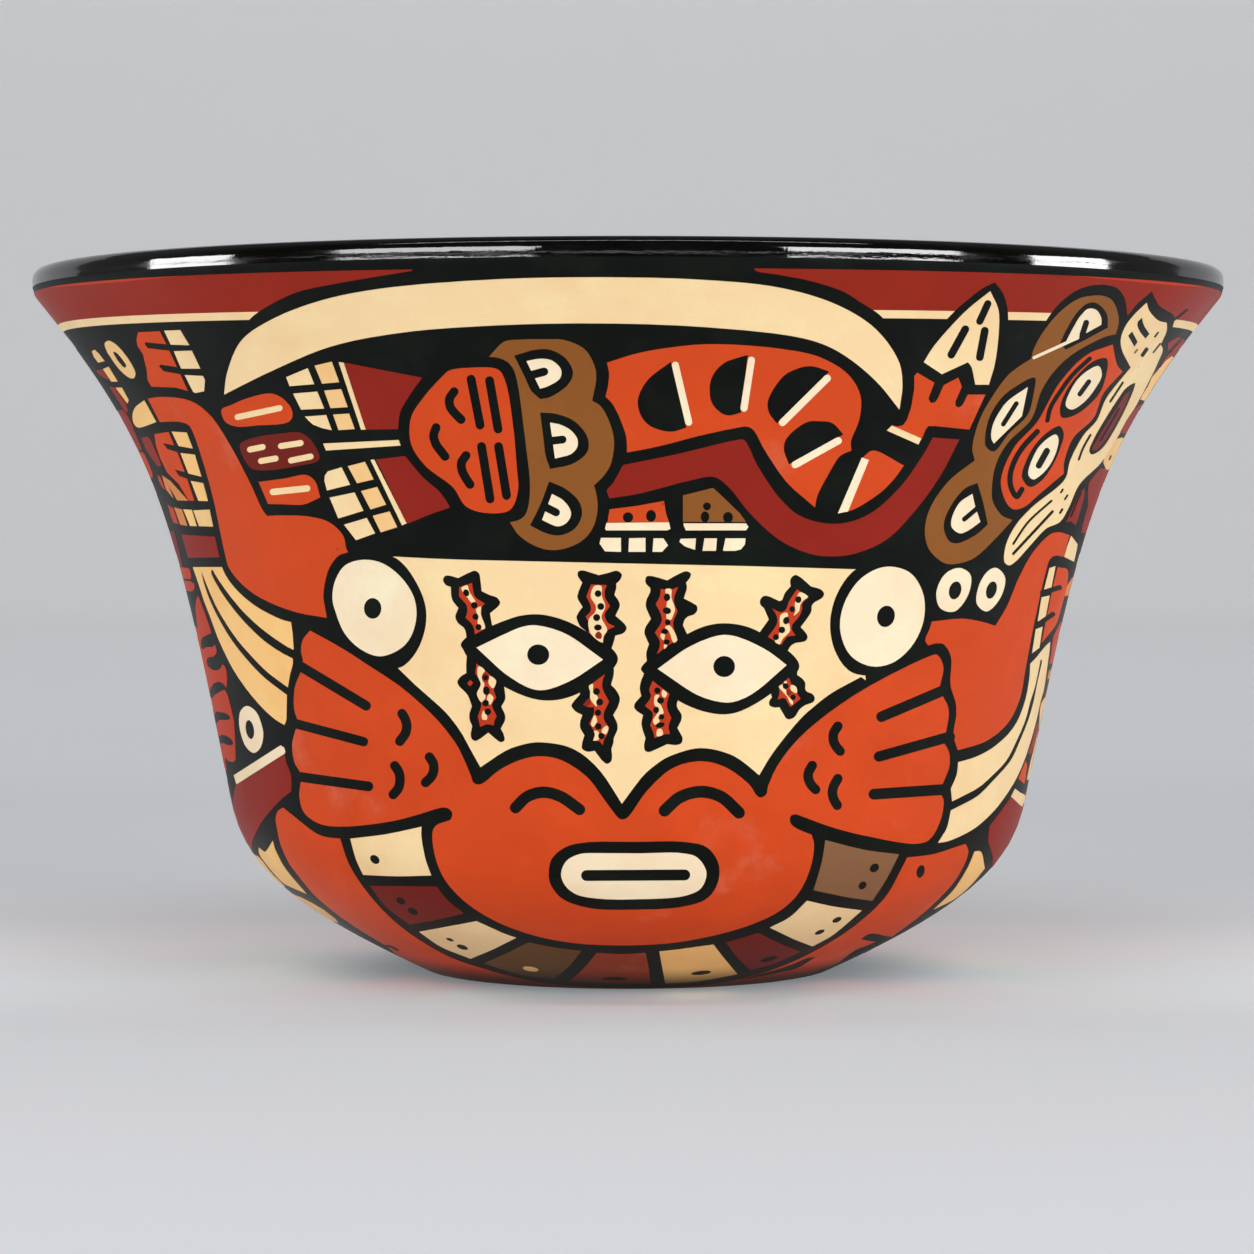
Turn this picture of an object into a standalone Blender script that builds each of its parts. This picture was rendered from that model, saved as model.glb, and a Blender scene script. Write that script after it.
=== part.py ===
"""Flared earthenware cup, coil-built: a pressed base pad, six wall coils and a rolled rim coil.

Metres, +Z up. The origin is the middle of the foot's flat face, on the surface that the cup stands on.
The wall is one turned section, drawn as (radius, height) points and divided where the coils were luted.
"""

import math

import bpy
from mathutils import Vector
from mathutils.geometry import interpolate_bezier

# Outside of the cup
CUP_HEIGHT = 0.097
RIM_RADIUS = 0.0825
LIP_RADIUS = 0.0022
BELLY_RADIUS = 0.0555
BELLY_HEIGHT = 0.024
FOOT_RADIUS = 0.028

# Slopes of the outside: the underside above the level, the wall and the flare out from upright
UNDERSIDE_RISE = math.radians(25)
WALL_LEAN = math.radians(11)
FLARE_LEAN = math.radians(39)

# How far each slope holds before the curve turns away from it
UNDERSIDE_REACH = 0.0235
BELLY_REACH = 0.0083
WAIST_REACH = 0.0405
FLARE_REACH = 0.026

# Inside of the cup
WALL_THICKNESS = 0.005
FLOOR_THICKNESS = 0.0065
FLOOR_REACH = 0.030
INNER_BELLY_REACH = 0.014

# Coils: how far the base pad climbs the underside, the height of the rim coil along the wall,
# how far each joint slopes down inside, and the line of slurry left in a joint
PAD_MARGIN = 0.007
RIM_COIL_REACH = 0.013
JOINT_LAP = 0.003
JOINT_GAP = 0.0003

# Fineness of the turned faces
TURN_STEPS = 64
COIL_STEPS = 4
PAD_STEPS = 6
LIP_STEPS = 8
CURVE_STEPS = 160

# Wall coils from the base pad up, with the colour and roughness of the slip that covers most of each
WALL_COILS = (
    ("heel_coil", (0.36, 0.085, 0.025), 0.42),
    ("belly_coil", (0.52, 0.095, 0.025), 0.40),
    ("lower_wall_coil", (0.60, 0.105, 0.028), 0.40),
    ("middle_wall_coil", (0.82, 0.62, 0.36), 0.42),
    ("upper_wall_coil", (0.010, 0.013, 0.012), 0.38),
    ("flare_coil", (0.20, 0.016, 0.010), 0.40),
)
PAD_FINISH = ((0.30, 0.10, 0.045), 0.70)
RIM_FINISH = ((0.006, 0.006, 0.006), 0.10)
MERGE_DISTANCE = 0.00001


def section_point(radius, height):
    """A point of the cup's section, in the XZ plane."""
    return Vector((radius, 0.0, height))


def leaning(lean):
    """Direction up a slope that leans out from upright."""
    return section_point(math.sin(lean), math.cos(lean))


def facing_out(lean):
    """Direction square to that slope, away from the clay."""
    return section_point(math.cos(lean), -math.sin(lean))


def smooth_line(start, start_handle, end_handle, end):
    return interpolate_bezier(start, start_handle, end_handle, end, CURVE_STEPS)


class Line:
    """A drawn line of the section that can be read by distance along it."""

    def __init__(self, points):
        self.points = points
        self.reach = [0.0]
        for here, after in zip(points, points[1:]):
            self.reach.append(self.reach[-1] + (after - here).length)
        self.length = self.reach[-1]

    def at(self, distance):
        for i in range(1, len(self.points)):
            if distance <= self.reach[i] or i == len(self.points) - 1:
                share = (distance - self.reach[i - 1]) / (self.reach[i] - self.reach[i - 1])
                return self.points[i - 1].lerp(self.points[i], share)

    def nearest(self, point):
        """Distance along the line of the drawn point closest to this one."""
        gaps = [(drawn - point).length for drawn in self.points]
        return self.reach[gaps.index(min(gaps))]

    def between(self, first, last, steps):
        return [self.at(first + (last - first) * i / steps) for i in range(steps + 1)]


def cup_section():
    """Outer line from the foot's edge to the lip, inner line from the floor's middle to the lip, and the lip's arc."""
    foot_edge = section_point(FOOT_RADIUS, 0.0)
    belly = section_point(BELLY_RADIUS, BELLY_HEIGHT)
    lip_middle = section_point(RIM_RADIUS - LIP_RADIUS, CUP_HEIGHT - LIP_RADIUS)
    outer_lip = lip_middle + facing_out(FLARE_LEAN) * LIP_RADIUS
    inner_lip = lip_middle - facing_out(FLARE_LEAN) * LIP_RADIUS
    underside = section_point(math.cos(UNDERSIDE_RISE), math.sin(UNDERSIDE_RISE))
    wall, flare = leaning(WALL_LEAN), leaning(FLARE_LEAN)

    outer = smooth_line(
        foot_edge, foot_edge + underside * UNDERSIDE_REACH, belly - wall * BELLY_REACH, belly
    )
    outer += smooth_line(belly, belly + wall * WAIST_REACH, outer_lip - flare * FLARE_REACH, outer_lip)[1:]

    floor = section_point(0.0, FLOOR_THICKNESS)
    inner_belly = belly - facing_out(WALL_LEAN) * WALL_THICKNESS
    inner = smooth_line(
        floor, floor + section_point(FLOOR_REACH, 0.0), inner_belly - wall * INNER_BELLY_REACH, inner_belly
    )
    inner += smooth_line(
        inner_belly, inner_belly + wall * WAIST_REACH, inner_lip - flare * FLARE_REACH, inner_lip
    )[1:]

    lip = []
    for i in range(1, LIP_STEPS):
        turn = math.pi * i / LIP_STEPS
        lip.append(
            lip_middle
            + facing_out(FLARE_LEAN) * (LIP_RADIUS * math.cos(turn))
            + flare * (LIP_RADIUS * math.sin(turn))
        )
    return Line(outer), Line(inner), lip


def slip_finish(name, colour, roughness):
    material = bpy.data.materials.new(name + "_slip")
    material.use_nodes = True
    shader = material.node_tree.nodes["Principled BSDF"]
    shader.inputs["Base Color"].default_value = (*colour, 1.0)
    shader.inputs["Roughness"].default_value = roughness
    shader.inputs["Metallic"].default_value = 0.0
    return material


def turned_piece(name, section, closed, finish, collection, axis):
    """Turns a section, drawn down its outer side, about the cup's axis. Its origin is on the axis at its lowest point."""
    seat = min(point.z for point in section)
    edges = [(i, i + 1) for i in range(len(section) - 1)]
    if closed:
        edges.append((len(section) - 1, 0))
    mesh = bpy.data.meshes.new(name)
    mesh.from_pydata([point - section_point(0.0, seat) for point in section], edges, [])
    mesh.materials.append(slip_finish(name, *finish))

    piece = bpy.data.objects.new(name, mesh)
    piece.location.z = seat
    piece.parent = axis
    collection.objects.link(piece)

    turn = piece.modifiers.new("turn", "SCREW")
    turn.axis = "Z"
    turn.angle = math.tau
    turn.steps = TURN_STEPS
    turn.render_steps = TURN_STEPS
    turn.use_merge_vertices = True
    turn.merge_threshold = MERGE_DISTANCE
    turn.use_smooth_shade = True
    return piece


def build_cup():
    outer, inner, lip = cup_section()
    collection = bpy.data.collections.new("flared_cup")
    bpy.context.scene.collection.children.link(collection)
    axis = bpy.data.objects.new("cup_axis", None)
    collection.objects.link(axis)

    # Joints share the wall between the base pad and the rim coil evenly
    first_joint = PAD_MARGIN
    last_joint = outer.length - RIM_COIL_REACH
    course = (last_joint - first_joint) / len(WALL_COILS)
    outer_joints = [first_joint + course * i for i in range(len(WALL_COILS) + 1)]
    inner_joints = [inner.nearest(outer.at(joint)) - JOINT_LAP for joint in outer_joints]
    half_gap = JOINT_GAP / 2 * math.hypot(WALL_THICKNESS, JOINT_LAP) / WALL_THICKNESS

    pad = inner.between(0.0, inner_joints[0] - half_gap, PAD_STEPS)
    pad += outer.between(outer_joints[0] - half_gap, 0.0, COIL_STEPS)
    pad.append(section_point(0.0, 0.0))
    turned_piece("base_pad", pad, False, PAD_FINISH, collection, axis)

    for i, (name, *finish) in enumerate(WALL_COILS):
        coil = outer.between(outer_joints[i + 1] - half_gap, outer_joints[i] + half_gap, COIL_STEPS)
        coil += inner.between(inner_joints[i] + half_gap, inner_joints[i + 1] - half_gap, COIL_STEPS)
        turned_piece(name, coil, True, finish, collection, axis)

    rim = lip[::-1]
    rim += outer.between(outer.length, outer_joints[-1] + half_gap, COIL_STEPS)
    rim += inner.between(inner_joints[-1] + half_gap, inner.length, COIL_STEPS)
    turned_piece("rim_coil", rim, True, RIM_FINISH, collection, axis)


for leftover in list(bpy.data.objects):
    bpy.data.objects.remove(leftover)
build_cup()
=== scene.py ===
import math

import bmesh
import bpy
import numpy as np
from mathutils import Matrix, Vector
from mathutils.geometry import delaunay_2d_cdt
from mathutils.kdtree import KDTree


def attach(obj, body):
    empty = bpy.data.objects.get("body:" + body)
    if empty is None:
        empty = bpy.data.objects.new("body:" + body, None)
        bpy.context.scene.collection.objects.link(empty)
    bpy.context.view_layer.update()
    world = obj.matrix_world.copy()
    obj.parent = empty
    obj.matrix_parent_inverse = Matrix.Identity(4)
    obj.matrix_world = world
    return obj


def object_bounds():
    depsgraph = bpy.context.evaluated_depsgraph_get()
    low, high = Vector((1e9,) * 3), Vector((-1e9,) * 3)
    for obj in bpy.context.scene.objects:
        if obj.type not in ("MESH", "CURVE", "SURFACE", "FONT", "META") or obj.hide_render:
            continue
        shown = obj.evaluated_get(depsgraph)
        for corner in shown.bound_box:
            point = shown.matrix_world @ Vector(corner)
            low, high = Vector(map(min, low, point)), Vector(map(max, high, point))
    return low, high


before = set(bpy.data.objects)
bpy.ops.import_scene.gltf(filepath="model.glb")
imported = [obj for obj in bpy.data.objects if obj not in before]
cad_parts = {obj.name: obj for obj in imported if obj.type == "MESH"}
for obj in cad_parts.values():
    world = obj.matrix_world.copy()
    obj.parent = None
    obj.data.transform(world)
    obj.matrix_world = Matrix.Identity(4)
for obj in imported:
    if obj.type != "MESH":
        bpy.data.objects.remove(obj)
cad_low, cad_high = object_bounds()
scene = bpy.context.scene

# Camera
# A long lens stands just under the lip's height and looks slightly down at the painted front.
# The outlines of the painting are read in this picture's pixels, so the same lens lays them on the wall.
PHOTO_PIXELS = 1254
FOCAL_PIXELS = 4105
HORIZON_ROW = 510
AXIS_COLUMN = 628
CAMERA_DISTANCE = 0.577
CAMERA_HEIGHT = 0.0642
SENSOR_WIDTH = 36.0

middle_pixel = PHOTO_PIXELS / 2
camera = bpy.data.objects.new("camera", bpy.data.cameras.new("camera"))
camera.data.sensor_width = SENSOR_WIDTH
camera.data.lens = SENSOR_WIDTH * FOCAL_PIXELS / PHOTO_PIXELS
camera.location = (
    (middle_pixel - AXIS_COLUMN) / FOCAL_PIXELS * CAMERA_DISTANCE, -CAMERA_DISTANCE, CAMERA_HEIGHT
)
camera.rotation_euler = (math.pi / 2 - math.atan((middle_pixel - HORIZON_ROW) / FOCAL_PIXELS), 0.0, 0.0)
scene.collection.objects.link(camera)
scene.camera = camera


# Clay body
# The base pad and the seven coils are low-fired red clay, luted wet to each other and scraped smooth.
# Slip covers them but for the foot, whose flat face stays bare, gritty and a little scuffed.
CLAY_RED = (158, 92, 62)
CLAY_DUST = (196, 140, 104)
CLAY_GRIT = (92, 48, 34)


def shown(colour):
    """A colour as it is seen, in steps of 255, as the shader's linear light."""
    seen = np.array(colour) / 255
    return (*np.where(seen <= 0.04045, seen / 12.92, ((seen + 0.055) / 1.055) ** 2.4), 1.0)


class NodeSheet:
    """The nodes of one material or group, added and joined by name."""

    def __init__(self, tree):
        self.tree = tree

    def add(self, kind, settings=(), **sockets):
        node = self.tree.nodes.new("ShaderNode" + kind)
        for name, value in dict(settings).items():
            setattr(node, name, value)
        for name, value in sockets.items():
            socket = self.socket(node, name)
            if isinstance(value, bpy.types.NodeSocket):
                self.tree.links.new(value, socket)
            else:
                socket.default_value = value
        return node

    @staticmethod
    def socket(node, name):
        """An input by its number, as in in_0, or by its name in words joined by underscores."""
        if name.startswith("in_"):
            return node.inputs[int(name[3:])]
        return node.inputs[name.replace("_", " ")]

    def noise(self, place, scale, detail=2.0, roughness=0.5):
        made = self.add("TexNoise", Vector=place, Scale=scale, Detail=detail, Roughness=roughness)
        return made.outputs["Fac"]

    def math(self, operation, *values):
        sockets = {f"in_{i}": value for i, value in enumerate(values)}
        return self.add("Math", {"operation": operation}, **sockets).outputs[0]

    def spread(self, value, low, high, to_low=0.0, to_high=1.0):
        made = self.add(
            "MapRange", {"interpolation_type": "SMOOTHSTEP"},
            in_0=value, in_1=low, in_2=high, in_3=to_low, in_4=to_high,
        )
        return made.outputs[0]

    def mix(self, share, first, second, blend="MIX"):
        made = self.add(
            "Mix", {"data_type": "RGBA", "blend_type": blend}, in_0=share, in_6=first, in_7=second
        )
        return made.outputs[2]

    def join(self, value, node, name):
        self.tree.links.new(value, node.inputs[name])


def effect(name, takes, gives):
    """An empty shader group: its sheet, the sockets that it takes and the node that gives its results."""
    group = bpy.data.node_groups.new(name, "ShaderNodeTree")
    for socket, (kind, value) in takes.items():
        made = group.interface.new_socket(socket, in_out="INPUT", socket_type="NodeSocket" + kind)
        made.default_value = value
    for socket, kind in gives.items():
        group.interface.new_socket(socket, in_out="OUTPUT", socket_type="NodeSocket" + kind)
    start = group.nodes.new("NodeGroupInput")
    end = group.nodes.new("NodeGroupOutput")
    return NodeSheet(group), start.outputs, end


def finish_named(name, roughness, specular=0.5):
    """A new material: its sheet and its shader."""
    made = bpy.data.materials.new(name)
    made.use_nodes = True
    shader = made.node_tree.nodes["Principled BSDF"]
    shader.inputs["Roughness"].default_value = roughness
    shader.inputs["Specular IOR Level"].default_value = specular
    return made, NodeSheet(made.node_tree), shader


# Grit in the clay: sand grains that show as dark and pale specks, and a powdery bloom between them
sheet, taken, given = effect(
    "clay_grit",
    {
        "Clay": ("Color", shown(CLAY_RED)), "Dust": ("Color", shown(CLAY_DUST)),
        "Grit": ("Color", shown(CLAY_GRIT)),
    },
    {"Colour": "Color", "Roughness": "Float", "Height": "Float"},
)
place = sheet.add("TexCoord").outputs["Object"]
bloom = sheet.noise(place, 70.0, 4.0, 0.6)
sand = sheet.add("TexVoronoi", Vector=place, Scale=900.0).outputs["Distance"]
grains = sheet.spread(sand, 0.22, 0.12)
dusted = sheet.mix(sheet.spread(bloom, 0.4, 0.7), taken["Clay"], taken["Dust"])
gritty = sheet.mix(sheet.math("MULTIPLY", grains, 0.55), dusted, taken["Grit"])
sheet.join(gritty, given, "Colour")
sheet.join(sheet.spread(bloom, 0.3, 0.7, 0.68, 0.86), given, "Roughness")
powder = sheet.noise(place, 1800.0, 3.0)
sheet.join(sheet.math("ADD", powder, sheet.math("MULTIPLY", grains, 0.6)), given, "Height")
CLAY_BUMP = 0.00012


def group_finish(name, group, roughness, specular, strength, depth, **sockets):
    """A material whose colour, polish and small bumps come from a shader group."""
    made, sheet, shader = finish_named(name, roughness, specular)
    wash = sheet.add("Group", {"node_tree": bpy.data.node_groups[group]}, **sockets)
    sheet.join(wash.outputs["Colour"], shader, "Base Color")
    sheet.join(wash.outputs["Roughness"], shader, "Roughness")
    bump = sheet.add("Bump", Strength=strength, Distance=depth, Height=wash.outputs["Height"])
    sheet.join(bump.outputs[0], shader, "Normal")
    return made


bare_clay = group_finish("bare_clay", "clay_grit", 0.75, 0.3, 0.6, CLAY_BUMP)
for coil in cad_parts.values():
    coil.data.materials.clear()
    coil.data.materials.append(bare_clay)


# Level lines at the lip
# The cup is painted on its side, turned on its axis under the brush: red under the lip and a thin cream
# line below it, both dipping a little on the two broad sides. Black slip is the ground of it all.
RIM_RADIUS = cad_high.x
CUP_HEIGHT = cad_high.z
LIP_RADIUS = 0.0022
BELLY_RADIUS = 0.0555
BELLY_HEIGHT = 0.024
FOOT_RADIUS = 0.028
UNDERSIDE_RISE = math.radians(25)
WALL_LEAN = math.radians(11)
FLARE_LEAN = math.radians(39)
UNDERSIDE_REACH = 0.0235
BELLY_REACH = 0.0083
WAIST_REACH = 0.0405
FLARE_REACH = 0.026
LIP_PAINTED = math.radians(48)
LIP_STEPS = 9
CURVE_STEPS = 160

RED_TOP = 0.0940
STRIPE_TOP = 0.08975
STRIPE_WIDTH = 0.00095
LINE_DIP = 0.0011
RED_DIP = 0.0006
SIDE = math.pi / 2
LEVEL_STEPS = 90


def leaning(lean):
    """Direction up a slope that leans out from upright, as (radius, height)."""
    return np.array((math.sin(lean), math.cos(lean)))


def facing_out(lean):
    """Direction square to that slope, away from the clay."""
    return np.array((math.cos(lean), -math.sin(lean)))


def curve(start, start_handle, end_handle, end):
    t = np.linspace(0, 1, CURVE_STEPS)[:, None]
    return (
        (1 - t) ** 3 * start + 3 * (1 - t) ** 2 * t * start_handle
        + 3 * (1 - t) * t ** 2 * end_handle + t ** 3 * end
    )


foot_edge = np.array((FOOT_RADIUS, 0.0))
belly = np.array((BELLY_RADIUS, BELLY_HEIGHT))
lip_middle = np.array((RIM_RADIUS - LIP_RADIUS, CUP_HEIGHT - LIP_RADIUS))
outer_lip = lip_middle + facing_out(FLARE_LEAN) * LIP_RADIUS
underside = leaning(math.pi / 2 - UNDERSIDE_RISE)
wall, flare = leaning(WALL_LEAN), leaning(FLARE_LEAN)


def lip_round(turns):
    """Points of the lip's round edge, by the turn from where the outer wall ends."""
    turns = np.array(turns)[:, None]
    return lip_middle + LIP_RADIUS * (np.cos(turns) * facing_out(FLARE_LEAN) + np.sin(turns) * flare)


outside = np.vstack([
    curve(foot_edge, foot_edge + underside * UNDERSIDE_REACH, belly - wall * BELLY_REACH, belly),
    curve(belly, belly + wall * WAIST_REACH, outer_lip - flare * FLARE_REACH, outer_lip)[1:],
    lip_round(np.linspace(0, LIP_PAINTED, LIP_STEPS)[1:]),
])
outside_step = np.gradient(outside, axis=0)
outside_step /= np.linalg.norm(outside_step, axis=1)[:, None]
outside_along = np.concatenate([[0], np.cumsum(np.linalg.norm(np.diff(outside, axis=0), axis=1))])
painted_height = outside_along[-1]


def by_height(angles, heights):
    """Places on the wall as (angle round the axis from the front, way up the wall from the foot)."""
    return np.column_stack([angles, np.interp(heights, outside[:, 1], outside_along)])


painting = []
round_half = np.linspace(-SIDE, SIDE, LEVEL_STEPS)


def level_line(height, dip):
    return by_height(round_half, height - dip * np.cos(round_half) ** 2)


def level_band(slip, top, bottom):
    painting.append((slip, np.vstack([top, bottom[::-1]])))


stripe_low = level_line(STRIPE_TOP - STRIPE_WIDTH, LINE_DIP)
stripe_high = level_line(STRIPE_TOP, LINE_DIP)
level_band("cream", stripe_high, stripe_low)
level_band("red", level_line(RED_TOP, RED_DIP), stripe_high)

# A thin line of lighter red along the band's top edge, near both sides, is a painted highlight along the
# slip's edge
RED_HIGHLIGHT_START = math.radians(43)
RED_HIGHLIGHT_END = math.radians(70)
RED_HIGHLIGHT_WIDTH = 0.00032
RED_HIGHLIGHT_STEPS = 25
for side in (-1, 1):
    highlight_round = side * np.linspace(RED_HIGHLIGHT_START, RED_HIGHLIGHT_END, RED_HIGHLIGHT_STEPS)
    top = RED_TOP - RED_DIP * np.cos(highlight_round) ** 2
    highlight_low = top - RED_HIGHLIGHT_WIDTH * np.sin(np.linspace(0, math.pi, RED_HIGHLIGHT_STEPS))
    level_band("rust", by_height(highlight_round, top), by_height(highlight_round, highlight_low))

# Crescent
# A broad cream crescent hangs from the lip over the figure's back, laid in one pull of a wide brush and
# then cut in with a black line that runs over the red band.
SAMPLES = 14
TRACE_TOLERANCE = 0.12
TRACE_STEP = 12.0
CAP_STEPS = 9
DOT_STEPS = 20
RAY_START = 1.1
RAY_STEPS = 400
SLIP_PROUD = 0.00016
RAY_HALVINGS = 30


def through(points, closed=False):
    """A smooth line drawn through the points, sampled closely."""
    p = np.array(points, float)
    ends = (p[-1:], p[:2]) if closed else (2 * p[:1] - p[1:2], 2 * p[-1:] - p[-2:-1])
    p = np.vstack([ends[0], p, ends[1]])
    gap = np.sqrt(np.linalg.norm(np.diff(p, axis=0), axis=1))[:, None]
    t = np.linspace(0, 1, SAMPLES, endpoint=False)[:, None]
    line = []
    for i in range(1, len(p) - 2):
        before, here, after = (np.diff(p, axis=0)[i + k] / gap[i + k] for k in (-1, 0, 1))
        leave = gap[i] * (before - (p[i + 1] - p[i - 1]) / (gap[i - 1] + gap[i]) + here)
        arrive = gap[i] * (here - (p[i + 2] - p[i]) / (gap[i] + gap[i + 1]) + after)
        line.append(
            (1 + 2 * t) * (1 - t) ** 2 * p[i] + t * (1 - t) ** 2 * leave
            + t ** 2 * (3 - 2 * t) * p[i + 1] - t ** 2 * (1 - t) * arrive
        )
    return np.vstack([*line, p[-2:-1]])


def blob(*points):
    """A rounded shape."""
    return through(points, closed=True)[:-1]


def panel(*points):
    """A shape with straight sides."""
    return np.array(points, float)


def outline(*runs):
    """A shape whose smooth runs meet at corners: each run starts where the one before it ended."""
    line = [np.array(runs[0][:1], float)]
    for run in runs:
        start = [tuple(line[-1][-1])]
        points = start + [p for i, p in enumerate(run) if i or tuple(p) != start[0]]
        line.append(through(points)[1:] if len(points) > 1 else line[0])
    return np.vstack(line)


def stroke(width, *points):
    """A brush stroke with round ends, along the points."""
    line = through(points)
    step = np.gradient(line, axis=0)
    step /= np.linalg.norm(step, axis=1)[:, None]
    side = np.column_stack([-step[:, 1], step[:, 0]]) * width / 2
    turn = np.linspace(0, math.pi, CAP_STEPS)[1:-1, None]
    end_cap = line[-1] + np.cos(turn) * side[-1] + np.sin(turn) * step[-1] * width / 2
    start_cap = line[0] - np.cos(turn) * side[0] - np.sin(turn) * step[0] * width / 2
    return np.vstack([line + side, end_cap, (line - side)[::-1], start_cap])


def bar(width, start, end):
    """A straight stick, rounded off within its length."""
    line = np.array((start, end), float)
    step = (line[1] - line[0]) / np.linalg.norm(line[1] - line[0]) * width / 2
    return stroke(width, line[0] + step, line[1] - step)


def dot(x, y, across, up=None, lean=0.0):
    """A touch of the brush: a round or oval spot, by its half widths, leaning clockwise in degrees."""
    turn = np.linspace(0, 2 * math.pi, DOT_STEPS, endpoint=False)
    oval = np.column_stack([np.cos(turn) * across, np.sin(turn) * (up or across)])
    c, s = math.cos(math.radians(lean)), math.sin(math.radians(lean))
    return oval @ np.array(((c, s), (-s, c))) + (x, y)


def thinned(line):
    """The fewest points that keep an open line's shape, in pixels."""
    if len(line) < 3:
        return line
    chord = line[-1] - line[0]
    away = line[1:-1] - line[0]
    length = np.linalg.norm(chord)
    if length > 1e-9:
        off = np.abs(away[:, 0] * chord[1] - away[:, 1] * chord[0]) / length
    else:
        off = np.linalg.norm(away, axis=1)
    far = int(np.argmax(off)) + 1
    if off[far - 1] > TRACE_TOLERANCE:
        return np.vstack([thinned(line[: far + 1])[:-1], thinned(line[far:])])
    return line[[0, -1]]


def wall_places(pixels):
    """Where the lens sees these pixels on the wall; past the cup's edge, the nearest place on that edge."""
    turned = np.array(camera.rotation_euler.to_matrix())
    across = (pixels - middle_pixel) / FOCAL_PIXELS
    rays = np.column_stack([across[:, 0], -across[:, 1], -np.ones(len(pixels))]) @ turned.T
    start = np.array(camera.location)

    def clearance(reach):
        at = start + rays * reach[:, None]
        wall_radius = np.interp(at[:, 2], outside[:, 1], outside[:, 0])
        return np.hypot(at[:, 0], at[:, 1]) - wall_radius - SLIP_PROUD, at

    flat = rays[:, :2]
    nearest = -(flat @ start[:2]) / (flat ** 2).sum(1)
    steps = np.linspace(CAMERA_DISTANCE - RIM_RADIUS * RAY_START, nearest, RAY_STEPS)
    gaps = np.array([clearance(step)[0] for step in steps])
    struck = (gaps < 0).any(0)
    first = np.where(struck, (gaps < 0).argmax(0), gaps.argmin(0))
    columns = np.arange(len(pixels))
    near, far = steps[np.maximum(first - 1, 0), columns], steps[first, columns]
    for _ in range(RAY_HALVINGS):
        half = (near + far) / 2
        into = clearance(half)[0] < 0
        near, far = np.where(into, near, half), np.where(into, half, far)
    at = clearance(np.where(struck, far, steps[first, columns]))[1]
    return by_height(np.arctan2(at[:, 0], -at[:, 1]), at[:, 2])


def paint(slip, **shapes):
    """Lays shapes, drawn in pixels, over what is painted already."""
    for shape in shapes.values():
        for drawn in shape if isinstance(shape, list) else [shape]:
            closed = np.vstack([drawn, drawn[:1]])
            far = int(np.argmax(np.linalg.norm(closed - closed[0], axis=1)))
            kept = np.vstack([thinned(closed[: far + 1])[:-1], thinned(closed[far:])])
            edge = []
            for here, after in zip(kept, kept[1:]):
                pieces = max(1, math.ceil(np.linalg.norm(after - here) / TRACE_STEP))
                edge += [here + (after - here) * i / pieces for i in range(pieces)]
            painting.append((slip, wall_places(np.array(edge))))


paint("black", crescent_line=outline(
    [(246, 322), (257, 312), (295, 292), (335, 283), (375, 276), (412, 270)], [(412, 258)], [(755, 258)],
    [(755, 269), (776, 273.5), (810, 280), (844, 291), (860, 301), (878, 312.5), (888, 322)],
))
paint("cream", crescent=outline(
    [(224, 394), (227, 372), (241, 340), (270, 319.5), (320, 300), (380, 288), (487, 279), (594, 276.5),
     (701, 279), (780, 287), (837, 304), (876, 328.5), (899, 361), (902.5, 385), (899.5, 409)],
    [(879, 383.5), (853, 360.5), (828, 345.5), (796, 336), (701, 326), (594, 322.5), (487, 325), (400, 332),
     (330, 346), (270, 371), (224, 394)],
))

# Rayed head
# A disc-faced head in orange hangs from the crescent's left, with lashes of black laid on once it dried.
RAY_LINE = 9
paint("orange", rayed_head=blob(
    (449, 370), (470, 367), (498, 369), (505, 380), (513, 425), (517, 470), (518, 490), (510, 509.5),
    (485, 512.5), (466, 506), (453, 487), (425, 465), (411, 443), (411, 417), (424, 396), (442, 376),
))
paint(
    "black",
    bent_lashes=[
        stroke(RAY_LINE, (454, 391), (449.5, 398), (450, 406), (455, 413), (461, 419)),
        stroke(RAY_LINE, (436, 427), (433.5, 435), (436, 444), (441, 451), (445, 456)),
        stroke(RAY_LINE, (466, 455), (461.5, 462), (462, 470), (466, 478), (470, 484)),
    ],
    straight_lashes=[
        stroke(RAY_LINE, (471, 378.5), (480, 424.5)), stroke(RAY_LINE, (489.5, 380), (498, 428.5)),
        stroke(RAY_LINE, (481.5, 446), (490, 498.5)), stroke(RAY_LINE, (498.5, 446), (506.5, 495)),
    ],
)

# Brown headdress over the face
# Three brown lobes, each with a cream half moon whose black tongue points back at the head.
paint("brown", lobes=outline(
    [(489, 356), (504, 341), (520, 339), (545, 338.5), (565, 339.5), (585, 349), (595, 367), (596, 380),
     (592, 400)],
    [(600, 405), (608, 418), (614, 440), (611, 463), (604, 475), (594, 485)],
    [(597, 497), (597.5, 510), (594, 525), (586, 537), (574, 545), (558, 549.5), (545, 549), (530, 543),
     (518, 534), (510, 522)],
    [(520, 519), (526, 513), (530, 490), (524, 430), (517, 380), (513, 368), (507, 361), (498, 357),
     (489, 356)],
))
paint("black", moon_beds=[
    outline(
        [(514, 355), (535, 349), (550, 349), (566, 358), (573, 372), (568, 384), (550, 396.5),
         (540, 398.5)],
        [(531, 390), (525, 377), (514, 355)],
    ),
    outline(
        [(540, 412), (555, 413), (575, 421), (588, 438), (587, 452), (572, 463.5), (550, 468.5)],
        [(545.5, 455), (543, 435), (540, 412)],
    ),
    outline(
        [(549, 481), (565, 488), (579, 501), (582, 514), (575, 528), (560, 535), (545, 532.5), (530, 525)],
        [(540, 505), (549, 481)],
    ),
])
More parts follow.
